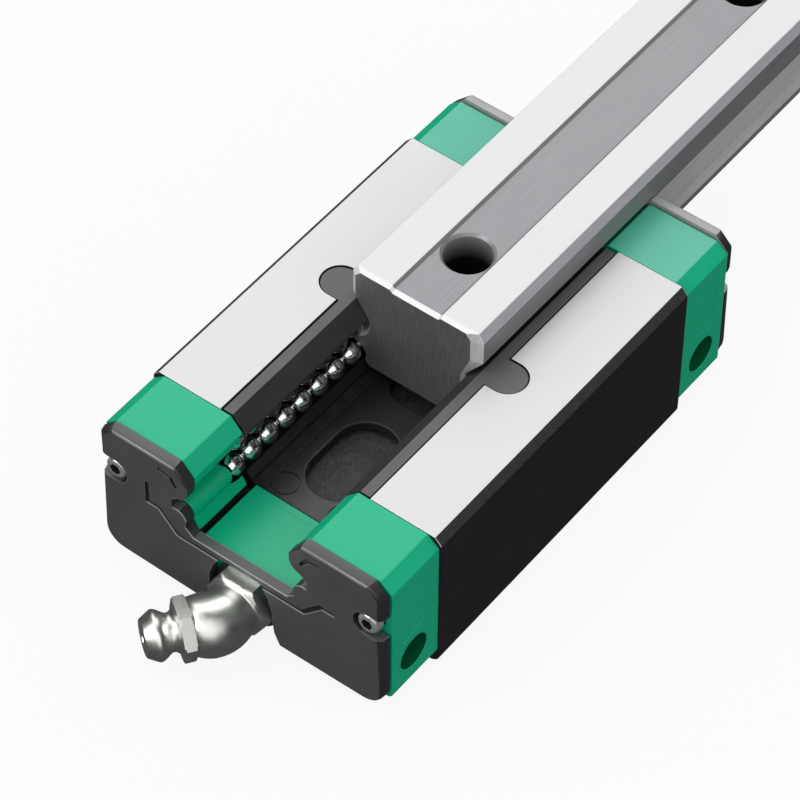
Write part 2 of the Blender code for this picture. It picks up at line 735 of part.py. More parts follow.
def box(name, low, high):
    """A cutter with faces square to the axes."""
    (x0, y0, z0), (x1, y1, z1) = low, high
    return loft(name, [[(x, y0, z0), (x, y1, z0), (x, y1, z1), (x, y0, z1)] for x in (x0, x1)])


def build_cap(end_name, end, material):
    cap = prism(f"end_cap_{end_name}", cap_outline(), end * CAP_INNER, end * CAP_OUTER, material)
    tongue_low = (end * (CAP_INNER + CAP_TONGUE), -CAP_TONGUE_HALF, CHANNEL_FLOOR + FIT_GAP)
    tongue_high = (end * (CAP_INNER - CAP_TONGUE), CAP_TONGUE_HALF, CAP_FLOOR)
    combine(cap, [box("tongue", tongue_low, tongue_high)], "UNION")
    half_width = CAP_WIDTH / 2
    cutters = []
    for side in SIDES.values():
        for row in ROWS.values():
            turn_radius = circuit_frame(row, side)[2]
            cutters.append(half_turn("ball turn", row, side, end, GROOVE_RADIUS))
            slab = (turn_radius, GUIDE_POCKET_THICKNESS, BLOCK_END)
            cutters.append(half_disc("guide pocket", row, side, end, *slab))
        screw = (side * SCREW_Y, SCREW_Z)
        span = (end * (CAP_INNER - CUT_PAST), end * (CAP_OUTER + CUT_PAST))
        cutters.append(x_rod("screw hole", *span, screw, SCREW_RADIUS + FIT_GAP, SMALL_SIDES))
        port = Vector((end * (CAP_INNER + PORT_X), side * (half_width + CUT_PAST), PORT_HEIGHT))
        bottom = Vector((port.x, side * (half_width - PORT_DEPTH), PORT_HEIGHT))
        cutters.append(rod("side port", port, bottom, PORT_RADIUS))
        low, high = ASSEMBLY_HEIGHT - PANEL_LOW_DROP, ASSEMBLY_HEIGHT - PANEL_HIGH_DROP
        panel_low = (end * (CAP_INNER + PANEL_START), side * (half_width - PANEL_DEPTH), low)
        panel_high = (end * (CAP_OUTER + CUT_PAST), side * (half_width + CUT_PAST), high)
        cutters.append(box("side panel", panel_low, panel_high))
    lube = (0.0, NIPPLE_HEIGHT)
    inner = CAP_OUTER - NIPPLE_THREAD_LENGTH - LUBE_HOLE_SPARE
    radius = NIPPLE_THREAD_RADIUS + FIT_GAP
    cutters.append(x_rod("lube hole", end * inner, end * (CAP_OUTER + CUT_PAST), lube, radius))
    cut(cap, cutters)
    smooth(cap)
    return cap


def seal_outlines():
    """An end seal's section at its back and at its bevelled front.

    Its throat follows the rail with the lip's clearance, and its arch clears the nipple's hexagon.
    """
    grown = inset(rail_outline(), -SEAL_LIP_CLEARANCE)
    lip = [(y, z) for y, z in grown if y > 0 and z < BLOCK_HEIGHT - SEAL_LIP_CLEARANCE]
    outlines = []
    for bevel in (0.0, SEAL_EDGE_BEVEL):
        half_width = SEAL_WIDTH / 2 - bevel
        top = BLOCK_HEIGHT - bevel
        bottom = SEAL_BOTTOM + bevel / 2
        foot = (SEAL_WIDTH / 2 - SEAL_FOOT_RADIUS, SEAL_BOTTOM + SEAL_FOOT_RADIUS)
        foot_arc = arc(foot, SEAL_FOOT_RADIUS - bevel, -90, 0, 4)
        arch = arc((0.0, NIPPLE_HEIGHT), ARCH_RADIUS, 90, 0, 6)
        half = [
            *arch,
            (ARCH_RADIUS + ARCH_FOOT_STEP, SEAL_BOTTOM + ARCH_FOOT_RISE),
            (ARCH_FOOT_HALF, bottom),
            *[(y, max(z, bottom)) for y, z in foot_arc],
            (half_width, SCREW_Z - NOTCH_HALF_HEIGHT),
            *arc((SCREW_Y - NOTCH_SHIFT, SCREW_Z), NOTCH_HALF_HEIGHT, 270, 90, 6),
            (half_width, SCREW_Z + NOTCH_HALF_HEIGHT),
            (half_width, BLOCK_HEIGHT - SEAL_TOP_CHAMFER),
            (SEAL_WIDTH / 2 - SEAL_TOP_CHAMFER, top),
            (CAP_THROAT_HALF - SEAL_NOSE_STEP, top),
            *reversed(lip),
        ]
        outlines.append(mirrored(half))
    return outlines


def seal_recess(end):
    """The pocket in the front face that bares the lip round the rail's head."""
    middle = ASSEMBLY_HEIGHT - SEAL_RECESS_MIDDLE_DROP
    half = [
        (SEAL_RECESS_KNEE, ASSEMBLY_HEIGHT - SEAL_RECESS_LOW_DROP),
        (SEAL_RECESS_STEP, middle),
        (SEAL_RECESS_HALF, middle),
        (SEAL_RECESS_HALF, ASSEMBLY_HEIGHT - SEAL_RECESS_HIGH_DROP),
    ]
    bottom = end * (SEAL_OUTER - SEAL_RECESS_DEPTH)
    return prism("lip recess", mirrored(half), bottom, end * (SEAL_OUTER + CUT_PAST))


def build_seal(end_name, end, material):
    back, front = seal_outlines()
    sections = [at_x(end * SEAL_INNER, back), at_x(end * SEAL_OUTER, front)]
    seal = loft(f"end_seal_{end_name}", sections, material)
    cut(seal, [seal_recess(end)])
    return seal


def build_screw(name, side, end, material):
    """A cap screw through the end cap into the block, with its head in the seal's notch."""
    seat = CAP_OUTER + FIT_GAP
    top = seat + SCREW_HEAD_HEIGHT
    tip = BLOCK_END - SCREW_REACH
    tip_length, tip_step = SCREW_TIP_CHAMFER
    head_length, head_step = SCREW_HEAD_CHAMFER
    profile = [
        (tip, SCREW_RADIUS - tip_step),
        (tip + tip_length, SCREW_RADIUS),
        (seat, SCREW_RADIUS),
        (seat, SCREW_HEAD_RADIUS),
        (top - head_length, SCREW_HEAD_RADIUS),
        (top, SCREW_HEAD_RADIUS - head_step),
        (top, SCREW_SOCKET_RADIUS),
        (top - SCREW_SOCKET_DEPTH, SCREW_SOCKET_RADIUS),
    ]
    screw = turned_x(name, (side * SCREW_Y, SCREW_Z), profile, end, SMALL_SIDES, material)
    smooth(screw)
    return screw


def build_plug(material):
    """The socket set screw that closes the lube hole at the far end."""
    start = CAP_OUTER - PLUG_LENGTH
    thread_length, thread_step = THREAD_CHAMFER
    profile = [
        (start, NIPPLE_THREAD_RADIUS - thread_step),
        (start + thread_length, NIPPLE_THREAD_RADIUS),
        (CAP_OUTER - PLUG_CHAMFER, NIPPLE_THREAD_RADIUS),
        (CAP_OUTER, NIPPLE_THREAD_RADIUS - PLUG_CHAMFER),
        (CAP_OUTER, PLUG_SOCKET_RADIUS),
        (CAP_OUTER - PLUG_SOCKET_DEPTH, PLUG_SOCKET_RADIUS),
    ]
    plug = turned_x("lube_plug", (0.0, NIPPLE_HEIGHT), profile, 1, SMALL_SIDES, material)
    smooth(plug)
    return plug


def nipple_frame():
    """The bend's place, the head's direction, and the unit vector across the head."""
    bend = Vector((-CAP_OUTER - NIPPLE_BEND_X - FIT_GAP, 0, NIPPLE_HEIGHT))
    angle = math.radians(NIPPLE_BEND_ANGLE)
    head = Vector((-math.cos(angle), math.sin(angle), 0))
    across = Vector((math.sin(angle), math.cos(angle), 0))
    return bend, head, across


def build_nipple(material):
    """The bent grease nipple: thread, hexagon, mitred elbow, collar and coned head."""
    bend, head, across = nipple_frame()
    up = Vector((0, 0, 1))
    y_axis = Vector((0, 1, 0))
    hex_start = -SEAL_INNER
    hex_end = hex_start - NIPPLE_HEX_LENGTH
    thread_end = -CAP_OUTER + NIPPLE_THREAD_LENGTH

    def on_thread(x):
        return Vector((x, 0, NIPPLE_HEIGHT))

    def on_head(reach):
        return bend + head * reach

    thread_length, thread_step = THREAD_CHAMFER
    hex_length, hex_step = NIPPLE_HEX_CHAMFER
    sections = [
        ring(on_thread(thread_end), y_axis, up, NIPPLE_THREAD_RADIUS - thread_step),
        ring(on_thread(thread_end - thread_length), y_axis, up, NIPPLE_THREAD_RADIUS),
        ring(on_thread(hex_start), y_axis, up, NIPPLE_THREAD_RADIUS),
        hexagon(on_thread(hex_start), y_axis, up, NIPPLE_HEX),
        hexagon(on_thread(hex_end + hex_length), y_axis, up, NIPPLE_HEX),
        ring(on_thread(hex_end), y_axis, up, NIPPLE_HEX / 2 - hex_step),
        ring(on_thread(hex_end), y_axis, up, NIPPLE_BODY_RADIUS),
    ]
    mitre = math.radians(NIPPLE_BEND_ANGLE) / 2
    slant = Vector((math.sin(mitre), math.cos(mitre), 0)) / math.cos(mitre)
    sections.append(ring(bend, slant, up, NIPPLE_BODY_RADIUS))
    collar_end = NIPPLE_COLLAR_START + NIPPLE_COLLAR_LENGTH
    round_length, round_step = NIPPLE_HEAD_ROUND
    sections += [
        ring(on_head(NIPPLE_COLLAR_START - NIPPLE_COLLAR_STEP), across, up, NIPPLE_BODY_RADIUS),
        hexagon(on_head(NIPPLE_COLLAR_START), across, up, NIPPLE_COLLAR_HEX),
        hexagon(on_head(collar_end), across, up, NIPPLE_COLLAR_HEX),
        ring(on_head(collar_end), across, up, NIPPLE_NECK_RADIUS + NIPPLE_NECK_FILLET),
        ring(on_head(NIPPLE_NECK_REACH - NIPPLE_NECK_FILLET), across, up, NIPPLE_NECK_RADIUS),
        ring(on_head(NIPPLE_NECK_REACH), across, up, NIPPLE_NECK_RADIUS),
        ring(on_head(NIPPLE_HEAD_REACH - round_length), across, up, NIPPLE_HEAD_RADIUS - round_step),
        ring(on_head(NIPPLE_HEAD_REACH), across, up, NIPPLE_HEAD_RADIUS),
        ring(on_head(NIPPLE_HEAD_REACH + round_length), across, up, NIPPLE_HEAD_RADIUS - round_step),
        ring(on_head(NIPPLE_REACH), across, up, NIPPLE_TIP_RADIUS),
    ]
    nipple = loft("grease_nipple", sections, material)
    seat = NIPPLE_REACH - NIPPLE_MOUTH_DEPTH
    outside = on_head(NIPPLE_REACH + CUT_PAST)
    mouth = rod("mouth", outside, on_head(seat - PASSAGE_LAP), NIPPLE_MOUTH_RADIUS, SMALL_SIDES)
    chamber = rod("chamber", on_head(seat), on_head(NIPPLE_CHAMBER_START), NIPPLE_CHAMBER_RADIUS, BORE_SIDES)
    lead = on_head(NIPPLE_CHAMBER_START + PASSAGE_LAP)
    upper = rod("upper passage", lead, on_head(-PASSAGE_LAP), NIPPLE_PASSAGE_RADIUS, SMALL_SIDES)
    thread_mouth = on_thread(thread_end + CUT_PAST)
    passage = rod("passage", bend, thread_mouth, NIPPLE_PASSAGE_RADIUS * PASSAGE_NARROWING, SMALL_SIDES)
    cut(nipple, [mouth, chamber, upper, passage])
    smooth(nipple)
    return nipple


def build_check_ball(material):
    """The ball that closes the nipple's mouth, held on its seat by the spring."""
    bend, head, across = nipple_frame()
    seat = NIPPLE_REACH - NIPPLE_MOUTH_DEPTH
    centre = bend + head * (seat - math.sqrt(CHECK_BALL_RADIUS ** 2 - NIPPLE_MOUTH_RADIUS ** 2) - FIT_GAP)
    up = Vector((0, 0, 1))
    sections = []
    for angle in (12, 45, 75, 105, 135, 168):
        a = math.radians(angle)
        offset = head * -math.cos(a) * CHECK_BALL_RADIUS
        sections.append(ring(offset, across, up, CHECK_BALL_RADIUS * math.sin(a), SMALL_SIDES))
    ball = loft("nipple_check_ball", sections, material)
    ball.location = centre * MM
    smooth(ball, 60.0)
    return ball


def build_spring(material):
    """The check ball's spring, coiled in the nipple's chamber and short of the ball by its travel."""
    bend, head, across = nipple_frame()
    up = Vector((0, 0, 1))
    start = NIPPLE_CHAMBER_START + SPRING_WIRE_RADIUS + SPRING_CLEARANCE
    seat = NIPPLE_REACH - NIPPLE_MOUTH_DEPTH
    drop = math.sqrt(CHECK_BALL_RADIUS ** 2 - NIPPLE_MOUTH_RADIUS ** 2)
    ball_back = seat - drop - FIT_GAP - CHECK_BALL_RADIUS
    end = ball_back - CHECK_BALL_TRAVEL - SPRING_WIRE_RADIUS - SPRING_CLEARANCE
    steps = int(SPRING_TURNS * 8)
    sections = []
    for i in range(steps + 1):
        a = 2 * math.pi * SPRING_TURNS * i / steps
        spoke = across * math.cos(a) + up * math.sin(a)
        place = bend + head * (start + (end - start) * i / steps) + spoke * SPRING_RADIUS
        sections.append(ring(place, spoke, head, SPRING_WIRE_RADIUS, 5))
    return loft("nipple_spring", sections, material)


def build():
    clear_scene()
    ground_steel = finish("ground rail steel", (0.80, 0.80, 0.81), 0.35, 0.9)
    block_steel = finish("carriage steel", (0.78, 0.78, 0.79), 0.4, 0.9)
    green = finish("green cap plastic", (0.02, 0.42, 0.25), 0.4, 0.0)
    seal_rubber = finish("end seal rubber", (0.05, 0.05, 0.055), 0.55, 0.0)
    strip_rubber = finish("strip rubber", (0.09, 0.09, 0.1), 0.5, 0.0)
    retainer_plastic = finish("retainer plastic", (0.02, 0.02, 0.022), 0.45, 0.0)
    tube_plastic = finish("return tube plastic", (0.75, 0.76, 0.72), 0.5, 0.0)
    ball_steel = finish("bearing ball steel", (0.85, 0.85, 0.86), 0.08, 1.0)
    screw_steel = finish("screw steel", (0.55, 0.55, 0.56), 0.25, 1.0)
    nickel = finish("plated nipple", (0.78, 0.77, 0.73), 0.2, 1.0)

    build_rail(ground_steel)
    build_block(block_steel)
    build_centre_retainer(retainer_plastic)
    for end_name, end in ENDS.items():
        build_cap(end_name, end, green)
        build_seal(end_name, end, seal_rubber)
    for side_name, side in SIDES.items():
        build_strip(side_name, side, strip_rubber)
        build_row_retainer(side_name, side, retainer_plastic)
        for row_name, row in ROWS.items():
            label = f"{row_name}_{side_name}"
            build_tube(f"return_tube_{label}", (side * row[1][0], row[1][1]), tube_plastic)
            build_ball_circuit(f"ball_circuit_{label}", row, side, ball_steel)
            guide_radius = circuit_frame(row, side)[2] - GROOVE_RADIUS
            for end_name, end in ENDS.items():
                guide = half_disc(f"turn_guide_{label}_{end_name}", row, side, end, guide_radius,
                                  GUIDE_THICKNESS, CAP_INNER, retainer_plastic)
                smooth(guide)
        for end_name, end in ENDS.items():
            build_screw(f"cap_screw_{end_name}_{side_name}", side, end, screw_steel)
    build_nipple(nickel)
    build_check_ball(ball_steel)
    build_spring(screw_steel)
    build_plug(screw_steel)


build()
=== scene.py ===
# %% [markdown]
# # A linear rail and its ball carriage
# A ground steel rail runs through a carriage, which rolls on four closed circuits of steel balls.
# The carriage lies on its mounting face, so the rail's base is up and the open channel shows the
# balls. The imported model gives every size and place. This script dresses it: rounded edges, turned
# and moulded detail, ground and black steel, green plastic, rubber and polished balls.

# %% Load the frame
import math

import bmesh
import bpy
from mathutils import Matrix, Vector


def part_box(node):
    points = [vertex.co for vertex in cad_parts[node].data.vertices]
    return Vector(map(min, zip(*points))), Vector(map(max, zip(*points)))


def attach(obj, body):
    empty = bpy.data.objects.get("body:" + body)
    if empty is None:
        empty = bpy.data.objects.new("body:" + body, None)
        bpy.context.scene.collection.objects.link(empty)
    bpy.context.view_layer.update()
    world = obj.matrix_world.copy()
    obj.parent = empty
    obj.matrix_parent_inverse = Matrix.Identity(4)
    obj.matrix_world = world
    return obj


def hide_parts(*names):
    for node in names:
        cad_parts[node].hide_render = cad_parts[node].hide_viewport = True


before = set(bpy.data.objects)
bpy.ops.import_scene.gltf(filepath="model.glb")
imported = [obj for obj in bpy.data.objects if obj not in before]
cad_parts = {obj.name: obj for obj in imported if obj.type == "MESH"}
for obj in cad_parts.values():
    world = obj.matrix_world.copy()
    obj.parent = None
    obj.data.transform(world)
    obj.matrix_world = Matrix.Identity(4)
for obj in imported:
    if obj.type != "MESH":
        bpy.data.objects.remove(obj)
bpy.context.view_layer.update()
print("nodes:", len(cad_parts))

# %% [markdown]
# ## Sizes
# Everything below is in millimetres. The faces that pieces share are read from the frame, so a
# dressed piece ends where its solid does. The photograph shows the caps and seals a few tenths
# prouder and the rail's near end a little nearer, so each of these has an extra of its own. The
# other values are the rounding and the small forms that only this script draws.

# %% Sizes from the frame
MM = 0.001
CAP_EXTRA = 0.3
SEAL_EXTRA = 0.4
SEAL_TOP_EXTRA = 0.5
RAIL_END_EXTRA = 0.7
X_AXIS = Vector((1, 0, 0))
Y_AXIS = Vector((0, 1, 0))
UP = Vector((0, 0, 1))


def span(node):
    """A node's lowest and highest corners in millimetres."""
    low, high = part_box(node)
    return Vector(low) / MM, Vector(high) / MM


_, block_high = span("carriage_block")
cap_low, cap_high = span("end_cap_near")
seal_low, seal_high = span("end_seal_near")
rail_low, rail_high = span("rail")
strip_low, strip_high = span("bottom_seal_left")
retainer_low, retainer_high = span("centre_retainer")
BLOCK_END = block_high.x
BLOCK_HALF = block_high.y
BLOCK_TOP = block_high.z
CAP_OUTER = -cap_low.x
CAP_HALF = cap_high.y + CAP_EXTRA
SEAL_INNER = -seal_high.x
SEAL_OUTER = -seal_low.x
SEAL_HALF = seal_high.y + SEAL_EXTRA
RAIL_HALF = rail_high.y
RAIL_BASE = rail_high.z
RAIL_HEAD = rail_low.z
GAP = 0.3
JOINT = 0.05
CAP_INNER = BLOCK_END + JOINT
print(f"block ends at {BLOCK_END:.2f}, caps at {CAP_OUTER:.2f}, seals at {SEAL_OUTER:.2f} mm")

# %% Ball rows and turns
BALL_RADIUS = 1.67
GROOVE_RADIUS = 1.92
BASE_ROW = (9.4, 20.3)
HEAD_ROW = (9.8, 14.7)
BASE_RETURN = (15.9, 19.6)
HEAD_RETURN = (15.4, 9.6)
BALLS = 36
TRAIN_OFFSET = -0.75
ROWS = {"base": (BASE_ROW, BASE_RETURN), "head": (HEAD_ROW, HEAD_RETURN)}
SIDES = {"left": 1, "right": -1}
ENDS = {"near": -1, "far": 1}


# %% One helper for every object
def add_object(name, data):
    """A new object in the scene."""
    thing = bpy.data.objects.new(name, data)
    bpy.context.scene.collection.objects.link(thing)
    return thing


# %% [markdown]
# ## The camera
# The photograph looks down at 49 degrees from the near right with a long lens, so parallel edges
# stay almost parallel. The camera is found from the block's measured corners and set by its
# azimuth, elevation, roll and distance from a point on the carriage.

# %% Place the camera
CAMERA_AZIMUTH = -52.681
CAMERA_ELEVATION = 49.16
CAMERA_ROLL = 0.409
CAMERA_DISTANCE = 481.525
CAMERA_TARGET = Vector((-4.903, -0.241, 15.0))
FOCAL_PIXELS = 3897.256
IMAGE_WIDTH = 800


def camera_axes(azimuth, elevation, roll):
    """The camera's right, up and backward unit vectors."""
    a, e, r = (math.radians(angle) for angle in (azimuth, elevation, roll))
    back = Vector((math.sin(a) * math.cos(e), -math.cos(a) * math.cos(e), math.sin(e)))
    level = Vector((math.cos(a), math.sin(a), 0))
    upright = back.cross(level)
    right = level * math.cos(r) + upright * math.sin(r)
    return right, back.cross(right), back


right, up, back = camera_axes(CAMERA_AZIMUTH, CAMERA_ELEVATION, CAMERA_ROLL)
camera_data = bpy.data.cameras.new("photo camera")
camera_data.sensor_width = 36.0
camera_data.lens = FOCAL_PIXELS / IMAGE_WIDTH * camera_data.sensor_width
camera_data.clip_start = 0.01
camera_data.clip_end = 20.0
camera = add_object("photo camera", camera_data)
turn = Matrix((right, up, back)).transposed().to_4x4()
camera.matrix_world = Matrix.Translation((CAMERA_TARGET + back * CAMERA_DISTANCE) * MM) @ turn
bpy.context.scene.camera = camera
print(f"lens {camera_data.lens:.1f} mm")

# %% [markdown]
# ## Shared tools for shapes
# Most pieces are bars with one section, so a closed outline of (y, z) points is the starting form.
# Real corners are never knife sharp, and a rounded corner is what catches the light, so every
# outline gets small fillets and every bar gets rounded ends. Holes and slots are cut afterwards.


# %% Outline tools
def arc(centre, radius, start, end, steps):
    """Points on a circle between two angles in degrees."""
    angles = [math.radians(start + (end - start) * i / steps) for i in range(steps + 1)]
    return [(centre[0] + radius * math.cos(a), centre[1] + radius * math.sin(a)) for a in angles]


def mirrored(half):
    """The full outline of a shape, from the half on the left of the rail's axis."""
    other = [(-y, z) for y, z in reversed(half) if y > 1e-6]
    return half + other


def turn_at(outline, i):
    """The two sides that leave a corner, and how far the outline turns there."""
    here = Vector(outline[i])
    before = Vector(outline[i - 1]) - here
    after = Vector(outline[(i + 1) % len(outline)]) - here
    return before, after, math.pi - before.angle(after)


def fillet(outline, radius, like=None, steps=3, least_turn=24.0):
    """Round each real corner. Gentle turns, such as those along an arc, stay as they are.

    The corners to round may be chosen on another outline, so that sections of one bar match.
    """
    rounded = []
    for i, corner in enumerate(outline):
        before, after, turn_angle = turn_at(outline, i)
        if math.degrees(turn_at(like or outline, i)[2]) < least_turn:
            rounded.append(corner)
            continue
        here = Vector(corner)
        reach = min(radius * math.tan(turn_angle / 2), 0.45 * before.length, 0.45 * after.length)
        start = here + before.normalized() * reach
        end = here + after.normalized() * reach
        for j in range(steps + 1):
            t = j / steps
            point = start * (1 - t) ** 2 + here * 2 * t * (1 - t) + end * t ** 2
            rounded.append(tuple(point))
    return rounded


def inset(outline, distance):
    """The outline moved inwards by a distance along its own normals."""
    area = sum(a[0] * b[1] - b[0] * a[1] for a, b in zip(outline, outline[1:] + outline[:1]))
    turn_sign = 1.0 if area > 0 else -1.0
    moved = []
    for i, point in enumerate(outline):
        here = Vector(point)
        before = (here - Vector(outline[i - 1])).normalized()
        after = (Vector(outline[(i + 1) % len(outline)]) - here).normalized()
        normal_before = Vector((-before.y, before.x)) * turn_sign
        normal_after = Vector((-after.y, after.x)) * turn_sign
        middle = (normal_before + normal_after).normalized()
        moved.append(tuple(here + middle * distance / max(middle.dot(normal_before), 0.3)))
    return moved


# %% Solid tools
def skin(name, sections, loop=False):
    """A closed solid through equal sections of points in millimetres."""
    bm = bmesh.new()
    rings = [[bm.verts.new(Vector(point) * MM) for point in section] for section in sections]
    pairs = list(zip(rings, rings[1:]))
    if loop:
        pairs.append((rings[-1], rings[0]))
    for low, high in pairs:
        for i in range(len(low)):
            j = (i + 1) % len(low)
            bm.faces.new((low[i], low[j], high[j], high[i]))
    if not loop:
        bm.faces.new(rings[0])
        bm.faces.new(rings[-1])
    bmesh.ops.recalc_face_normals(bm, faces=bm.faces[:])
    mesh = bpy.data.meshes.new(name)
    bm.to_mesh(mesh)
    bm.free()
    return add_object(name, mesh)


def at_x(x, outline):
    return [(x, y, z) for y, z in outline]


def bar(name, outline, x_from, x_to, rounding, edge=0.12, steps=3):
    """A bar along X with rounded corners, whose two end faces have rounded edges too.

    The sharp outline is moved in first and rounded afterwards, so a small rounding never folds over.
    """
    sections = []
    for j in range(steps + 1):
        a = math.pi / 2 * j / steps
        depth = edge * (1 - math.cos(a))
        shrunk = fillet(inset(outline, edge * (1 - math.sin(a))), rounding, outline)
        sections.append((depth, shrunk))
    sign = 1 if x_to > x_from else -1
    near = [at_x(x_from + sign * depth, shrunk) for depth, shrunk in sections]
    far = [at_x(x_to - sign * depth, shrunk) for depth, shrunk in reversed(sections)]
    return skin(name, near + far)


def ring(centre, across, upward, radius, sides):
    angles = [2 * math.pi * i / sides for i in range(sides)]
    return [centre + (across * math.cos(a) + upward * math.sin(a)) * radius for a in angles]


def turned(name, start, axis, profile, sides=48):
    """A turned solid: the profile holds (distance along the axis, radius) pairs."""
    axis = axis.normalized()
    across = axis.orthogonal().normalized()
    upward = axis.cross(across)
    return skin(name, [ring(start + axis * d, across, upward, r, sides) for d, r in profile])


def bake(piece):
    """Turn what the modifiers make into the piece's own plain mesh."""
    graph = bpy.context.evaluated_depsgraph_get()
    mesh = bpy.data.meshes.new_from_object(piece.evaluated_get(graph))
    old = piece.data
    piece.modifiers.clear()
    piece.data = mesh
    bpy.data.meshes.remove(old)


def open_edges(piece):
    """How many edges don't have exactly two faces: a sound solid has none."""
    bm = bmesh.new()
    bm.from_mesh(piece.data)
    count = sum(len(edge.link_faces) != 2 for edge in bm.edges)
    bm.free()
    return count


def weld(piece):
    """Join points that lie closer than half a micrometre, and drop the slivers between them."""
    bm = bmesh.new()
    bm.from_mesh(piece.data)
    bmesh.ops.remove_doubles(bm, verts=bm.verts[:], dist=0.0005 * MM)
    bmesh.ops.dissolve_degenerate(bm, dist=0.0005 * MM, edges=bm.edges[:])
    bm.to_mesh(piece.data)
    bm.free()


def carve(piece, tools, operation="DIFFERENCE"):
    """Cut the tools out of the piece or join them to it, and delete them."""
    for tool in tools:
        modifier = piece.modifiers.new("carve", "BOOLEAN")
        modifier.operation = operation
        modifier.solver = "EXACT"
        modifier.object = tool
    bake(piece)
    weld(piece)
    for tool in tools:
        bpy.data.objects.remove(tool, do_unlink=True)


def paint(piece, finishes, choose=None):
    """Give each face one of the finishes: choose gets its middle in millimetres and its normal."""
    piece.data.materials.clear()
    names = list(finishes)
    for name in names:
        piece.data.materials.append(finishes[name])
    for face in piece.data.polygons:
        name = choose(face.center / MM, face.normal) if choose else names[0]
        face.material_index = names.index(name)


def dress(piece, body, slot, *nodes, sharp=38.0):
    """Shade the piece, put it under its body's empty, and hide the nodes that it stands in for."""
    piece.data.shade_smooth()
    piece.data.set_sharp_from_angle(angle=math.radians(sharp))
    weight = piece.modifiers.new("flat faces stay flat", "WEIGHTED_NORMAL")
    weight.keep_sharp = True
    bake(piece)
    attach(piece, body)
    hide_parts(*nodes)
    print(f"{piece.name}: {len(piece.data.polygons)} faces, {open_edges(piece)} open edges")


# %% [markdown]
# ## Node trees
# Materials and geometry trees are built in the same way: a node is made in one call, which gives
# its settings and says what goes into each socket. A value is set, and an output is linked.


# %% Node tools
SOCKET_KINDS = {float: "Float", int: "Int", tuple: "Vector"}


class Graph:
    """A tree of nodes under construction."""

    def __init__(self, tree):
        self.tree = tree

    def add(self, kind, sockets=(), out=0, **settings):
        """Make a node, fill its sockets and return one of its outputs."""
        node = self.tree.nodes.new(kind)
        for label, value in settings.items():
            setattr(node, label, value)
        for label, value in dict(sockets).items():
            if isinstance(value, bpy.types.NodeSocket):
                self.tree.links.new(value, node.inputs[label])
            else:
                node.inputs[label].default_value = value
        return node.outputs[out] if len(node.outputs) else None

    def maths(self, operation, first, second):
        return self.add("ShaderNodeMath", {0: first, 1: second}, operation=operation)


def new_tree(kind, name, inputs, outputs):
    """An empty tree and what comes in: an input has a value, or a word for its kind."""
    tree = bpy.data.node_groups.new(name, kind)
    for label, value in inputs.items():
        word = value if isinstance(value, str) else SOCKET_KINDS[type(value)]
        socket = tree.interface.new_socket(label, in_out="INPUT", socket_type=f"NodeSocket{word}")
        if not isinstance(value, str):
            socket.default_value = value
    for label, word in outputs.items():
        tree.interface.new_socket(label, in_out="OUTPUT", socket_type=f"NodeSocket{word}")
    return Graph(tree), tree.nodes.new("NodeGroupInput").outputs


# %% Geometry node tools
def geometry_tree(name, inputs):
    """A tree with one geometry in and out, and the named inputs."""
    return new_tree("GeometryNodeTree", name, {"Geometry": "Geometry", **inputs}, {"Geometry": "Geometry"})


def lifted(graph, shape, z):
    lift = graph.add("ShaderNodeCombineXYZ", {"Z": z})
    return graph.add("GeometryNodeTransform", {"Geometry": shape, "Translation": lift})


def placed(graph, points, shape, **sockets):
    """The shape put on every point, as real geometry."""
    scatter = graph.add("GeometryNodeInstanceOnPoints", {"Points": points, "Instance": shape, **sockets})
    return graph.add("GeometryNodeRealizeInstances", {"Geometry": scatter})


def coated(graph, shape, material, **sockets):
    return graph.add("GeometryNodeSetMaterial", {"Geometry": shape, "Material": material, **sockets})


def run_tree(piece, tree, values):
    """Set the tree's inputs by identifier, run it on the piece and keep the plain mesh."""
    modifier = piece.modifiers.new(tree.name, "NODES")
    modifier.node_group = tree
    for item in tree.interface.items_tree:
        if item.item_type == "SOCKET" and item.in_out == "INPUT" and item.name in values:
            modifier[item.identifier] = values[item.name]
    bake(piece)


# %% [markdown]
# ## Finishes
# Three effects are shared between materials, so each is one node group: fine grain, drawn lines
# from a grinding wheel, and a painted highlight along edges, which stands for the light that a
# rounded edge catches. A group hands out values and normals only. Each material keeps its own
# shader, and sets its plain numbers on the sockets.


# %% Shared effects
def make_noise(name, detail, roughness, distance):
    """Noise stretched by its own factor along each axis, with a bump that follows it."""
    graph, given = new_tree("ShaderNodeTree", name, {"Stretch": (200.0, 6000.0, 6000.0), "Bump": 0.1},
                            {"Value": "Float", "Normal": "Vector"})
    place = graph.add("ShaderNodeTexCoord", out="Object")
    stretched = graph.add("ShaderNodeVectorMath", {0: place, 1: given["Stretch"]}, operation="MULTIPLY")
    noise = graph.add("ShaderNodeTexNoise", {"Vector": stretched, "Scale": 1.0, "Detail": detail,
                                             "Roughness": roughness}, out="Fac")
    value = graph.add("ShaderNodeMapRange", {"Value": noise, "From Min": 0.3, "From Max": 0.7})
    bump = graph.add("ShaderNodeBump", {"Height": noise, "Strength": given["Bump"], "Distance": distance})
    graph.add("NodeGroupOutput", {"Value": value, "Normal": bump})
    return graph.tree


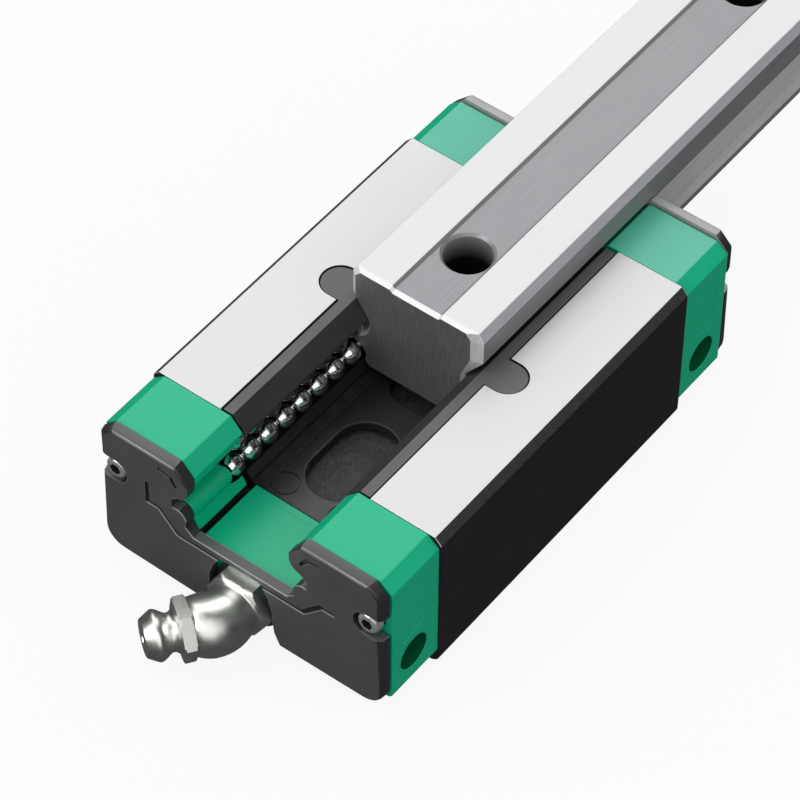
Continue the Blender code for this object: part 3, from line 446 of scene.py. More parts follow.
def make_edge_highlight():
    """A mask for a painted edge highlight, 1 near edges and broken up by noise: it compares a rounded normal
    with the real one.
    """
    graph, given = new_tree("ShaderNodeTree", "edge wear", {"Radius": 0.0003, "Amount": 1.0},
                            {"Mask": "Float"})
    rounded = graph.add("ShaderNodeBevel", {"Radius": given["Radius"]}, samples=4)
    real = graph.add("ShaderNodeNewGeometry", out="Normal")
    alike = graph.add("ShaderNodeVectorMath", {0: rounded, 1: real}, out="Value", operation="DOT_PRODUCT")
    edge = graph.add("ShaderNodeMapRange", {"Value": alike, "From Min": 0.995, "From Max": 0.85})
    place = graph.add("ShaderNodeTexCoord", out="Object")
    patches = graph.add("ShaderNodeTexNoise", {"Vector": place, "Scale": 900.0, "Detail": 3.0}, out="Fac")
    broken = graph.add("ShaderNodeMapRange", {"Value": patches, "From Min": 0.35, "From Max": 0.65,
                                              "To Min": 0.3})
    highlight_mask = graph.maths("MULTIPLY", edge, broken)
    graph.add("NodeGroupOutput", {"Mask": graph.maths("MULTIPLY", highlight_mask, given["Amount"])})
    return graph.tree


grain_group = make_noise("fine grain", 5.0, 0.6, 0.00005)
lines_group = make_noise("drawn lines", 4.0, 0.65, 0.00004)
edge_highlight_group = make_edge_highlight()


# %% Material tools
class Finish(Graph):
    """A material under construction, with its shader and a few ways to add an effect."""

    def __init__(self, name, roughness, metallic=0.0, specular=0.5):
        self.material = bpy.data.materials.new(name)
        self.material.use_nodes = True
        super().__init__(self.material.node_tree)
        self.shader = self.tree.nodes["Principled BSDF"]
        self.shader.inputs["Roughness"].default_value = roughness
        self.shader.inputs["Metallic"].default_value = metallic
        self.shader.inputs["Specular IOR Level"].default_value = specular

    def noise(self, group, stretch, bump=0.0):
        """A shared noise as values from 0 to 1. One number is the same stretch along each axis."""
        stretch = stretch if isinstance(stretch, tuple) else (stretch,) * 3
        return self.add("ShaderNodeGroup", {"Stretch": stretch, "Bump": bump}, out="Value", node_tree=group)

    def blend(self, factor, first, second):
        """A colour between two others, by a value from 0 to 1."""
        pair = [(*colour, 1.0) if isinstance(colour, tuple) else colour for colour in (first, second)]
        return self.add("ShaderNodeMix", {0: factor, 6: pair[0], 7: pair[1]}, out=2, data_type="RGBA")

    def shift(self, value, low, high):
        """A value from 0 to 1 moved to a new range."""
        return self.add("ShaderNodeMapRange", {"Value": value, "To Min": low, "To Max": high})

    def height(self, low, high):
        """0 at one height of the piece, in millimetres, and 1 at another."""
        place = self.add("ShaderNodeTexCoord", out="Object")
        z = self.add("ShaderNodeSeparateXYZ", {"Vector": place}, out="Z")
        return self.add("ShaderNodeMapRange", {"Value": z, "From Min": low * MM, "From Max": high * MM})

    def done(self, colour, roughness, texture):
        """Connect the shader. The bump comes from the same noise as the texture's values."""
        bump = texture.node.outputs["Normal"]
        for label, source in (("Base Color", colour), ("Roughness", roughness), ("Normal", bump)):
            self.tree.links.new(source, self.shader.inputs[label])
        return self.material


# %% [markdown]
# ### Steel
# The rail's base and the block's faces beside the channel are ground: pale, satin and crossed by
# lines too fine to see one by one. The rail's chamfers, flanks, grooves and relief slopes are the
# same ground steel in tones of painted light and shade: the chamfers mid grey, the flanks darker,
# the grooves lighter than the flanks. The block's sides are nearly black. The rail's cut end shows
# upright streaks from the saw and wheel, and its bevel and side facets carry a painted highlight.
# The wall of a bolt hole has painted shade that gets darker with depth.


# %% Steel finishes
def ground_steel(name, dark, light, stretch, roughness, metallic, bump=0.06):
    """Ground steel whose lines run along the axis with the smallest stretch."""
    finish = Finish(name, roughness, metallic)
    lines = finish.noise(lines_group, stretch, bump)
    cloud = finish.noise(grain_group, 140.0)
    drawn = finish.blend(lines, dark, light)
    clouded = finish.blend(finish.shift(cloud, 0.0, 0.35), drawn, dark)
    return finish.done(clouded, finish.shift(lines, roughness - 0.05, roughness + 0.08), lines)


def dark_steel(name, dark, light, scale, roughness, bump, painted_shade=None):
    """Dark rough steel with a mottled surface. It may get painted shade that darkens to black between two
    heights.
    """
    finish = Finish(name, roughness, 0.3, specular=0.35)
    grain = finish.noise(grain_group, scale, bump)
    cloud = finish.noise(grain_group, scale / 9)
    mottled = finish.blend(grain, dark, light)
    colour = finish.blend(finish.shift(cloud, 0.0, 0.5), mottled, dark)
    # Painted shade in a hole, darker with depth.
    if painted_shade:
        colour = finish.blend(finish.height(*painted_shade), PAINTED_HOLE_SHADE, colour)
    return finish.done(colour, finish.shift(grain, roughness - 0.08, roughness + 0.1), grain)


# Painted shade: the colour that a bolt hole's wall darkens to with depth.
PAINTED_HOLE_SHADE = (0.015, 0.015, 0.016)
ALONG = (120.0, 5000.0, 5000.0)
UPRIGHT = (4200.0, 4200.0, 330.0)
# The heights between which the bolt hole's painted shade darkens.
BORE_PAINTED_SHADE = (25.4, 30.0)
# Painted light and shade: chamfer, flank, groove and slope are copies of the ground steel in tones for how
# light falls on each, and bevel and facet carry a painted highlight.
GROUND = {
    "strip": ("ground rail base", (0.70, 0.70, 0.715), (0.77, 0.77, 0.785), ALONG, 0.4, 0.2),
    "relief": ("rail relief", (0.27, 0.272, 0.285), (0.36, 0.362, 0.375), ALONG, 0.45, 0.25),
    "end": ("cut rail end", (0.128, 0.121, 0.126), (0.235, 0.222, 0.232), UPRIGHT, 0.42, 0.25, 0.5),
    "bevel": ("bright rail bevel", (0.90, 0.90, 0.90), (0.98, 0.98, 0.98), ALONG, 0.42, 0.1),
    "facet": ("rail end facet", (0.62, 0.62, 0.625), (0.92, 0.92, 0.925), UPRIGHT, 0.4, 0.2, 0.15),
    "slope": ("relief edge", (0.24, 0.242, 0.25), (0.32, 0.322, 0.33), ALONG, 0.4, 0.2),
    "chamfer": ("rail chamfer", (0.50, 0.502, 0.53), (0.60, 0.602, 0.63), ALONG, 0.4, 0.2),
    "flank": ("rail flank", (0.21, 0.211, 0.22), (0.29, 0.291, 0.30), ALONG, 0.4, 0.2),
    "groove": ("ball groove", (0.55, 0.55, 0.56), (0.68, 0.68, 0.69), ALONG, 0.35, 0.2),
    "top": ("ground block face", (0.72, 0.72, 0.735), (0.755, 0.755, 0.77), ALONG, 0.45, 0.2),
}
DARK = {
    "bore": ("bolt hole wall", (0.42, 0.42, 0.43), (0.55, 0.55, 0.56), 2600.0, 0.5, 0.2, BORE_PAINTED_SHADE),
    "rough": ("block chamfer", (0.035, 0.035, 0.037), (0.09, 0.09, 0.093), 4200.0, 0.55, 0.35),
    "side": ("black block side", (0.014, 0.0138, 0.017), (0.036, 0.0355, 0.041), 1500.0, 0.48, 0.25),
    "race": ("ball race", (0.03, 0.03, 0.031), (0.10, 0.10, 0.102), 1800.0, 0.35, 0.05),
    "floor": ("channel floor", (0.02, 0.02, 0.021), (0.15, 0.15, 0.152), 3600.0, 0.5, 0.5),
}
steel = {key: ground_steel(*values) for key, values in GROUND.items()}
steel.update({key: dark_steel(*values) for key, values in DARK.items()})
print("steel finishes:", len(steel))

# %% [markdown]
# ### Plastic, rubber and plating
# The caps are moulded in green plastic with a soft gloss, the seals are charcoal rubber over a
# stiff plate, and the retainer is black plastic. The far cap's top faces and the far seal are paler
# by a painted sheen. A seal's sides are darker than its face by painted shade, and the ridge along
# each leg has a painted highlight.
# Balls and nipple mirror what is round them, so their shader stays simple and the room does the
# work.

# %% Plastic, rubber and plating
# The colour of the painted highlight along a seal's edges.
PAINTED_EDGE_HIGHLIGHT = (0.45, 0.45, 0.46)


def moulded(name, colour, shade, roughness, specular=0.5, bump=0.05, highlight=0.0):
    """Moulded plastic or rubber: one colour with slow changes of tone, fine grain and, if asked, a painted
    highlight along its edges.
    """
    finish = Finish(name, roughness, specular=specular)
    grain = finish.noise(grain_group, 2600.0, bump)
    tone = finish.blend(finish.noise(grain_group, 160.0), colour, shade)
    if highlight:
        # Painted highlight: edges are lightened as if they caught the light.
        edges = finish.add("ShaderNodeGroup", {"Radius": 0.0002, "Amount": highlight}, node_tree=edge_highlight_group)
        tone = finish.blend(edges, tone, PAINTED_EDGE_HIGHLIGHT)
    return finish.done(tone, finish.shift(grain, roughness - 0.05, roughness + 0.07), grain)


def plated(name, colour, shade, roughness, stretch=900.0, bump=0.02, metallic=1.0):
    """Bright metal with faint tool marks."""
    finish = Finish(name, roughness, metallic)
    lines = finish.noise(lines_group, stretch, bump)
    tinted = finish.blend(lines, colour, shade)
    return finish.done(tinted, finish.shift(lines, roughness, roughness + 0.08), lines)


green = moulded("green cap plastic", (0.0, 0.52, 0.27), (0.0, 0.50, 0.26), 0.32, 0.42, 0.03)
# Painted sheen: a paler green for the far cap's top faces.
green_painted_sheen = moulded("green cap plastic, faded", (0.11, 0.57, 0.40), (0.10, 0.55, 0.38), 0.32, 0.42, 0.03)
# Painted shade: a dark copy of the cap's green for the inside of the side ports.
green_port_painted_shade = moulded("green plastic in the ports", (0.0, 0.13, 0.05), (0.0, 0.105, 0.04), 0.45, 0.2)
# Seal rubber, with a painted highlight along its edges.
charcoal = moulded("charcoal seal rubber", (0.085, 0.086, 0.093), (0.105, 0.106, 0.114), 0.42,
                   bump=0.06, highlight=0.85)
# Painted shade: a darker copy of the seal rubber for its sides.
charcoal_painted_shade = moulded("charcoal seal rubber, side", (0.026, 0.026, 0.029), (0.036, 0.036, 0.04), 0.4, 0.4)
# Painted highlight: a lighter copy of the seal rubber for the ridge along each leg.
charcoal_painted_highlight = moulded("charcoal seal rubber, ridge", (0.20, 0.20, 0.205), (0.28, 0.28, 0.285), 0.3)
# Painted sheen: a pale rubber for the far seal, also used as a painted highlight on the groove walls that
# look up.
charcoal_painted_sheen = moulded("charcoal seal rubber, faded", (0.42, 0.41, 0.42), (0.52, 0.51, 0.52), 0.35)
strip_grey = moulded("strip rubber, upper face", (0.11, 0.11, 0.115), (0.13, 0.13, 0.135), 0.5, 0.4)
# Painted shade: a dark copy of the strip rubber for its faces that don't look up.
strip_rubber_painted_shade = moulded("strip rubber, lip", (0.032, 0.032, 0.037), (0.042, 0.042, 0.047), 0.45, 0.4)
tab_grey = moulded("strip rubber, tab", (0.11, 0.11, 0.117), (0.13, 0.13, 0.137), 0.45, 0.45)
black = moulded("black retainer plastic", (0.014, 0.014, 0.015), (0.02, 0.02, 0.021), 0.34)
natural = moulded("natural tube plastic", (0.70, 0.71, 0.67), (0.66, 0.67, 0.63), 0.45)
chrome_ball = plated("polished ball", (0.80, 0.80, 0.80), (0.84, 0.84, 0.84), 0.06, bump=0.0)
nickel = plated("bright nickel", (0.74, 0.73, 0.70), (0.86, 0.85, 0.82), 0.3, (700.0, 700.0, 2500.0), 0.05)
milled = plated("milled nickel flat", (0.68, 0.67, 0.64), (0.84, 0.83, 0.80), 0.36,
                (2200.0, 2200.0, 300.0), 0.12)
zinc = plated("plated screw", (0.58, 0.58, 0.59), (0.70, 0.70, 0.70), 0.26, metallic=0.6)

KEPT_SOLIDS = {"row_retainer": black, "nipple_spring": zinc, "turn_guide": black, "return_tube": natural}
for node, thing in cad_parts.items():
    for start, finish in KEPT_SOLIDS.items():
        if node.startswith(start):
            paint(thing, {start: finish})

# %% [markdown]
# ## The rail
# The rail is one section, ground along its whole length: a base with a shallow relief, a waist,
# and two ball grooves on each side of the head. The chamfers beside its base are taller than they
# are wide, and the bevel round each end is widest at the base's right side. The bolt holes follow
# a rule, one every 60 mm, so a geometry tree places the cutters along a line and takes them out.

# %% The rail's section
RAIL_WAIST = 7.4
RAIL_WAIST_HEIGHT = 21.6
RAIL_SHOULDER = 25.1
RAIL_CHAMFER = 0.75
RAIL_CHAMFER_HEIGHT = 1.3
RAIL_LOBE_LOW = 16.6
RAIL_LOBE_HIGH = 17.7
RAIL_HEAD_HALF = 7.1
RELIEF_HALF = 3.5
RELIEF_DEPTH = 0.4
RELIEF_EDGE = RELIEF_HALF + RELIEF_DEPTH
RAIL_ROUNDING = 0.12
END_BEVEL = 0.6
BEVEL_WIDE = 1.6
BEVEL_NARROW = 0.4


def rail_outline():
    half = [
        (RAIL_HEAD_HALF, RAIL_HEAD),
        *arc(HEAD_ROW, GROOVE_RADIUS, 205, 88, 18),
        (RAIL_HALF, RAIL_LOBE_LOW),
        (RAIL_HALF, RAIL_LOBE_HIGH),
        *arc(BASE_ROW, GROOVE_RADIUS, 262, 195, 12),
        (RAIL_WAIST, BASE_ROW[1] + 0.3),
        (RAIL_WAIST, RAIL_WAIST_HEIGHT),
        (RAIL_HALF, RAIL_SHOULDER),
        (RAIL_HALF, RAIL_BASE - RAIL_CHAMFER_HEIGHT),
        (RAIL_HALF - RAIL_CHAMFER, RAIL_BASE),
        (RELIEF_EDGE, RAIL_BASE),
        (RELIEF_HALF, RAIL_BASE - RELIEF_DEPTH),
    ]
    return mirrored(half)


def bevelled(share):
    """The rail's section near an end, with a share of the bevel's full width."""
    outline = rail_outline()
    narrow = BEVEL_NARROW * share
    plain, moved = (fillet(inset(outline, amount), RAIL_ROUNDING, outline) for amount in (0.0, narrow))
    section = []
    for (y, z), below in zip(plain, moved):
        if z < RAIL_WAIST_HEIGHT + 1.0:
            section.append(below)
            continue
        if abs(y) > RELIEF_EDGE + 1.0:
            y -= 2 * narrow if y > 0 else -BEVEL_WIDE * share
        if z > RAIL_BASE - 1.0:
            z -= narrow
        section.append((y, z))
    return section


RAIL_NEAR = rail_low.x - RAIL_END_EXTRA
bevel_steps = [(0.0, 1.0), (0.04, 0.93), (0.54, 0.05), (END_BEVEL, 0.0)]
near_end = [at_x(RAIL_NEAR + depth, bevelled(share)) for depth, share in bevel_steps]
far_end = [at_x(rail_high.x - depth, bevelled(share)) for depth, share in reversed(bevel_steps)]
rail = skin("dressed_rail", near_end + far_end)
print("rail section points:", len(bevelled(0.0)))

# %% The bolt holes, by geometry nodes
BOLT_PITCH = 60.0
BOLT_MARGIN = 10.0
BOLT_RADIUS = 3.2
BOLT_EDGE = 0.35
COUNTERBORE_RADIUS = 4.75
COUNTERBORE_DEPTH = 8.5
HOLE_SIDES = 64


def bolt_hole_tree():
    """Cutters for stepped holes on a line along X, taken out of the bar that comes in."""
    graph, given = geometry_tree("bolt holes", {
        "Count": 2, "Pitch": 0.06, "First": (0.0, 0.0, 0.0), "Radius": 0.003, "Edge": 0.0003,
        "Counterbore radius": 0.0047, "Counterbore depth": 0.0085, "Height": 0.017, "Finish": "Material"})
    radius, height = given["Radius"], given["Height"]
    step = graph.add("ShaderNodeCombineXYZ", {"X": given["Pitch"]})
    line = graph.add("GeometryNodeMeshLine", {"Count": given["Count"], "Start Location": given["First"],
                                              "Offset": step}, mode="OFFSET")

    def cylinder(radius, depth, place_z):
        sockets = {"Vertices": HOLE_SIDES, "Radius": radius, "Depth": depth}
        return lifted(graph, graph.add("GeometryNodeMeshCylinder", sockets), place_z)

    shank = cylinder(radius, graph.maths("MULTIPLY", height, 3.0), graph.maths("MULTIPLY", height, -0.5))
    sunk = graph.maths("MULTIPLY", given["Counterbore depth"], 2.0)
    seat = cylinder(given["Counterbore radius"], sunk, graph.maths("MULTIPLY", height, -1.0))
    rim = graph.maths("MULTIPLY", given["Edge"], 2.0)
    cone = graph.add("GeometryNodeMeshCone", {
        "Vertices": HOLE_SIDES, "Radius Top": graph.maths("ADD", radius, rim), "Radius Bottom": radius,
        "Depth": rim})
    mouth = lifted(graph, cone, graph.maths("MULTIPLY", given["Edge"], -1.0))
    solid = given["Geometry"]
    for shape in (shank, seat, mouth):
        cutters = placed(graph, line, shape)
        solid = graph.add("GeometryNodeMeshBoolean", {"Mesh 1": solid, "Mesh 2": cutters},
                          operation="DIFFERENCE", solver="EXACT")
    graph.add("NodeGroupOutput", {"Geometry": coated(graph, solid, given["Finish"])})
    return graph.tree


rail_length = rail_high.x - rail_low.x
HOLE_TOP = RAIL_BASE - RELIEF_DEPTH
run_tree(rail, bolt_hole_tree(), {
    "Count": int((rail_length - 2 * BOLT_MARGIN) / BOLT_PITCH) + 1,
    "Pitch": BOLT_PITCH * MM,
    "First": ((rail_low.x + BOLT_MARGIN) * MM, 0.0, HOLE_TOP * MM),
    "Radius": BOLT_RADIUS * MM,
    "Edge": BOLT_EDGE * MM,
    "Counterbore radius": COUNTERBORE_RADIUS * MM,
    "Counterbore depth": COUNTERBORE_DEPTH * MM,
    "Height": (HOLE_TOP - RAIL_HEAD) * MM,
    "Finish": steel["flank"],
})


# %% The rail's finishes, face by face
def rail_finish(middle, normal):
    y, z = abs(middle.y), middle.z
    end_distance = min(middle.x - RAIL_NEAR, rail_high.x - middle.x)
    if end_distance < 0.01:
        return "end"
    # Painted highlight: the end bevel and its side facets are lighter than the ground steel.
    if end_distance < END_BEVEL + 0.1 and abs(normal.x) > 0.3:
        return "bevel" if normal.z > 0.3 else "facet"
    if abs(normal.z) < 0.3 and y < COUNTERBORE_RADIUS and z < RAIL_BASE - 0.5:
        return "bore"
    if z > RAIL_BASE - 0.1 and y > RELIEF_EDGE - 0.1:
        return "strip"
    if z > RAIL_BASE - 1.0 and y < RELIEF_EDGE + 0.1:
        return "relief" if normal.z > 0.9 or abs(normal.x) > 0.05 else "slope"
    # Painted shade: the chamfers, grooves and flanks are darker copies of the ground steel.
    if z > RAIL_BASE - RAIL_CHAMFER_HEIGHT - 0.1:
        return "chamfer"
    if z < RAIL_LOBE_HIGH + 2.5 and y > RAIL_WAIST and abs(normal.z) > 0.05:
        return "groove"
    return "flank"


rail_parts = ("strip", "relief", "slope", "end", "bevel", "facet", "chamfer", "flank", "groove", "bore")
paint(rail, {key: steel[key] for key in rail_parts}, rail_finish)
dress(rail, "rail", "rail_steel", "rail")

# %% [markdown]
# ## The ball circuits
# Each circuit is a closed path: the loaded row, a half turn in each end cap and the return through
# the block. The balls touch, so they are spaced by one ball's width along the path. A geometry
# tree does this: it resamples the path into as many points as there are balls and puts a ball on
# each one.


# %% Circuit paths
def circuit_frame(row, side):
    """The loaded line, the return line, the turn's radius and the unit vector between the lines."""
    loaded = Vector((0, side * row[0][0], row[0][1]))
    returning = Vector((0, side * row[1][0], row[1][1]))
    between = returning - loaded
    return loaded, returning, between.length / 2, between.normalized()


def circuit_point(row, side, distance):
    """The place on a circuit at a distance from mid-load, counted towards the far end.

    The way back is the way out, seen through the circuit's centre.
    """
    loaded, returning, radius, outward = circuit_frame(row, side)
    straight = 2 * BLOCK_END
    trips, s = divmod(distance + straight / 2, straight + math.pi * radius)
    if s <= straight:
        reach = X_AXIS * (s - BLOCK_END) - outward * radius
    else:
        a = (s - straight) / radius
        reach = X_AXIS * (BLOCK_END + radius * math.sin(a)) - outward * radius * math.cos(a)
    return (loaded + returning) / 2 + (reach if trips % 2 == 0 else -reach)


# %% Balls on the paths, by geometry nodes
def ball_tree():
    """Balls at equal steps along the path that comes in."""
    graph, given = geometry_tree("ball train", {"Balls": 36, "Radius": 0.0016, "Fineness": 3,
                                                "Finish": "Material"})
    path = graph.add("GeometryNodeMeshToCurve", {"Mesh": given["Geometry"]})
    points = graph.add("GeometryNodeResampleCurve", {"Curve": path, "Count": given["Balls"]})
    ball = graph.add("GeometryNodeMeshIcoSphere", {"Radius": given["Radius"],
                                                   "Subdivisions": given["Fineness"]})
    smooth = graph.add("GeometryNodeSetShadeSmooth", {"Geometry": placed(graph, points, ball)})
    graph.add("NodeGroupOutput", {"Geometry": coated(graph, smooth, given["Finish"])})
    return graph.tree


ball_train = ball_tree()
BALL_PITCH = 2 * BALL_RADIUS - 0.04
PATH_STEP = 0.5
FINENESS = {"left": 4, "right": 3}
for side_name, side in SIDES.items():
    for row_name, row in ROWS.items():
        turn_radius = circuit_frame(row, side)[2]
        total = 2 * (2 * BLOCK_END + math.pi * turn_radius)
        train = (BALLS - 1) * BALL_PITCH
        first = total / 2 + (total - train) / 2 + TRAIN_OFFSET
        steps = round(train / PATH_STEP)
        places = [circuit_point(row, side, first + train * i / steps) * MM for i in range(steps + 1)]
        name = f"ball_circuit_{row_name}_{side_name}"
        mesh = bpy.data.meshes.new(name)
        mesh.from_pydata(places, [(i, i + 1) for i in range(steps)], [])
        balls = add_object(f"dressed_{name}", mesh)
        run_tree(balls, ball_train, {"Balls": BALLS, "Radius": BALL_RADIUS * MM,
                                     "Fineness": FINENESS[side_name], "Finish": chrome_ball})
        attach(balls, "carriage")
        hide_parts(name)
        print(f"{name}: {BALLS} balls, pitch {BALL_PITCH:.2f} mm")

# %% [markdown]
# ## The carriage block
# The block is a U of hardened steel. Its section carries a race for each ball row, and it is bored
# for the return tubes. The faces beside the channel are ground pale, the chamfers and the long
# sides stay dark, and the mounting face has four threaded holes.

# %% The block
BLOCK_FOOT = 1.6
BLOCK_CHAMFER = 0.95
BLOCK_CHAMFER_HEIGHT = 1.05
POCKET_HALF = 11.4
SHELF = 22.45
RIB_HALF = 11.35
CHANNEL_HALF = 10.45
CHANNEL_FLOOR = 9.9
RETURN_BORE = 2.47
SCREW_PLACE = (19.3, 16.75)
MOUNT_X, MOUNT_Y = 18.0, 16.0
MOUNT_RADIUS = 2.5
MOUNT_RIM = 0.45
MOUNT_DEPTH = 6.0
TAB_RADIUS = 2.5
TAB_REACH = 12.9
TAB_CLEARANCE = 0.22


def block_outline():
    half = [
        *arc((BLOCK_HALF - BLOCK_FOOT, BLOCK_FOOT), BLOCK_FOOT, -90, 0, 8),
        (BLOCK_HALF, BLOCK_TOP - BLOCK_CHAMFER_HEIGHT),
        (BLOCK_HALF - BLOCK_CHAMFER, BLOCK_TOP),
        (POCKET_HALF, BLOCK_TOP),
        (POCKET_HALF, SHELF),
        (BASE_ROW[0] + 0.9, SHELF - 0.05),
        *arc(BASE_ROW, GROOVE_RADIUS, 60, -35, 12),
        (RIB_HALF, RAIL_LOBE_HIGH + 0.9),
        *arc(HEAD_ROW, GROOVE_RADIUS, 35, -70, 14),
        (CHANNEL_HALF, CHANNEL_FLOOR),
    ]
    return mirrored(half)


def tab_plate(name, side, growth, low, high):
    """The half-round tab at a strip's middle, grown by a clearance for its recess."""
    radius = TAB_RADIUS + growth
    root = POCKET_HALF - GAP - 0.2
    plan = [(-radius, root), *arc((0.0, TAB_REACH), radius, 180, 0, 28), (radius, root)]
    return skin(name, [[(x, side * y, z) for x, y in plan] for z in (low, high)])


block = bar("dressed_block", block_outline(), -BLOCK_END, BLOCK_END, 0.1, 0.08)
through = [(0, RETURN_BORE), (2 * BLOCK_END + 2, RETURN_BORE)]
mount_profile = [(0, MOUNT_RADIUS + MOUNT_RIM), (MOUNT_RIM, MOUNT_RADIUS),
                 (MOUNT_DEPTH - 0.6, MOUNT_RADIUS), (MOUNT_DEPTH, 1.6)]
cutters = []
for side in SIDES.values():
    for _, (y, z) in ROWS.values():
        cutters.append(turned("bore", Vector((-BLOCK_END - 1, side * y, z)), X_AXIS, through, 32))
    cutters.append(tab_plate("tab recess", side, TAB_CLEARANCE, BLOCK_TOP - 1.2, BLOCK_TOP + 1))
    for end in ENDS.values():
        mount = Vector((end * MOUNT_X, side * MOUNT_Y, -0.01))
        cutters.append(turned("mount hole", mount, UP, mount_profile, 48))
        face = Vector((end * (BLOCK_END + 1), side * SCREW_PLACE[0], SCREW_PLACE[1]))
        cutters.append(turned("screw hole", face, -end * X_AXIS, [(0, 1.5), (8.5, 1.5)], 24))
carve(block, cutters)


def block_finish(middle, normal):
    """Ground where a wheel reaches, dark on the chamfers and sides, smoother in the races, and a painted
    highlight on the rounded end edges next to the top.
    """
    y, z = abs(middle.y), middle.z
    chamfer_foot = BLOCK_TOP - BLOCK_CHAMFER_HEIGHT
    if z > BLOCK_TOP - 0.03 and normal.z > 0.9:
        return "top"
    if abs(middle.x) > BLOCK_END - 0.01:
        return "side"
    # Painted highlight: the rounded end edges beside the top get the pale ground finish.
    if abs(middle.x) > BLOCK_END - 0.3 and abs(normal.x) > 0.2:
        return "top" if z > chamfer_foot - 0.1 else "side"
    if z > chamfer_foot - 0.06 and y > BLOCK_HALF - BLOCK_CHAMFER - 0.1:
        return "rough"
    if y > BLOCK_HALF - 0.02:
        return "side"
    if z < 0.02 and normal.z < -0.9:
        return "top"
    if abs(z - CHANNEL_FLOOR) < 0.1 and y < CHANNEL_HALF + 0.2:
        return "floor"
    return "race" if CHANNEL_HALF - 0.2 < y < POCKET_HALF + 0.1 else "side"


paint(block, {key: steel[key] for key in ("top", "rough", "side", "floor", "race")}, block_finish)
dress(block, "carriage", "carriage_steel", "carriage_block")

# %% [markdown]
# ## The end caps
# A cap is moulded to the block's outline and a little smaller. A ridge on each side of its throat
# follows the rail's lower groove, and a narrow slot, painted black as shade, runs beside the
# throat's floor. Its inner side carries the ball turns, painted black inside as shade. Each outer
# side has a shallow panel and a round lube port, whose inside has painted shade in deep green. The
# far cap's top faces have a painted sheen. The nose of each leg slopes down into the throat, which
# is the bright band that the photograph shows.

# %% The end caps
CAP_BOTTOM = cap_low.z
CAP_CHAMFER = 1.75
CAP_CHAMFER_HEIGHT = 1.4
THROAT_HALF = 9.75
NOSE_HALF = 7.95
NOSE_DROP = 1.95
NOSE_LOW = 20.6
LOBE_HALF = 10.5
RIDGE_CLEARANCE = 0.35
RIDGE_FOOT = [(8.1, 13.35), (7.6, 12.3)]
SLOT_HALF = 7.6
SLOT_LOW = 10.8
CAP_FLOOR = 12.0
CAP_FLOOR_HALF = 6.95
TONGUE_HALF = 6.85
TONGUE_LAP = 1.3
NIPPLE_HEIGHT = 6.0
LUBE_HOLE = [(0, 3.25), (6.8, 3.25)]
PORT_X, PORT_Z, PORT_RADIUS = 30.05, 7.35, 2.55
PORT_RIM = 0.12
PORT_DEPTH = 2.4
PANEL_LOW = 10.6
PANEL_HIGH = 19.9
POCKET_THICKNESS = 3.2
TURN_STEPS = 16
POCKET_STEPS = 24


def cap_outline():
    half = [
        (CAP_HALF - 0.5, CAP_BOTTOM),
        (CAP_HALF, CAP_BOTTOM + 0.5),
        (CAP_HALF, BLOCK_TOP - CAP_CHAMFER_HEIGHT),
        (CAP_HALF - CAP_CHAMFER, BLOCK_TOP),
        (THROAT_HALF, BLOCK_TOP),
        (NOSE_HALF, BLOCK_TOP - NOSE_DROP),
        (NOSE_HALF, NOSE_LOW),
        (LOBE_HALF, RAIL_LOBE_HIGH + 0.2),
        (LOBE_HALF, RAIL_LOBE_LOW - RIDGE_CLEARANCE),
        *arc(HEAD_ROW, GROOVE_RADIUS - RIDGE_CLEARANCE, 95, 203, 8),
        *RIDGE_FOOT,
        (SLOT_HALF, SLOT_LOW),
        (CAP_FLOOR_HALF, SLOT_LOW),
        (CAP_FLOOR_HALF, CAP_FLOOR),
    ]
    return mirrored(half)


def turn_frame(row, side, end):
    """A ball turn's centre, its radius, and the unit vectors outwards, off the block and across."""
    loaded, returning, turn_radius, outward = circuit_frame(row, side)
    along = end * X_AXIS
    return (loaded + returning) / 2 + along * BLOCK_END, turn_radius, outward, along, outward.cross(along)


def half_turn(row, side, end, radius):
    """The tunnel that the balls follow round one turn."""
    centre, turn_radius, outward, along, across = turn_frame(row, side, end)
    sections = []
    for i in range(TURN_STEPS + 1):
        a = math.pi * i / TURN_STEPS
        spoke = along * math.sin(a) - outward * math.cos(a)
        sections.append(ring(centre + spoke * turn_radius, spoke, across, radius, 24))
    lead = along * -0.5
    sections.insert(0, [point + lead for point in sections[0]])
    sections.append([point + lead for point in sections[-1]])
    return skin("ball turn", sections)


def guide_pocket(row, side, end):
    """The half-round pocket that holds a turn guide."""
    centre, turn_radius, outward, along, across = turn_frame(row, side, end)
    angles = [math.pi * i / POCKET_STEPS for i in range(POCKET_STEPS + 1)]
    rim = [centre + (outward * math.cos(a) + along * math.sin(a)) * turn_radius for a in angles]
    offsets = (-POCKET_THICKNESS / 2, POCKET_THICKNESS / 2)
    return skin("guide pocket", [[point + across * offset for point in rim] for offset in offsets])


def side_panel(side, end):
    """A cutter for the shallow panel on a cap's outer side."""
    sections = []
    for y, growth in ((side * (CAP_HALF - 0.07), 0.0), (side * (CAP_HALF + 0.05), 0.12)):
        near, far = end * (CAP_OUTER - 1.9 + growth), end * (CAP_OUTER - 6.4 - growth)
        low, high = PANEL_LOW - growth, PANEL_HIGH + growth
        sections.append([(near, y, low), (far, y, low + 1.6), (far, y, high), (near, y, high)])
    return skin("side panel", sections)


def on_ball_turn(point, end):
    """Whether a point lies on the wall of a ball turn in the cap at this end."""
    for side in SIDES.values():
        for row in ROWS.values():
            centre, turn_radius, outward, along, across = turn_frame(row, side, end)
            reach = point - centre
            spread = math.hypot(reach.dot(outward), reach.dot(along))
            if abs(math.hypot(spread - turn_radius, reach.dot(across)) - GROOVE_RADIUS) < 0.15:
                return True
    return False


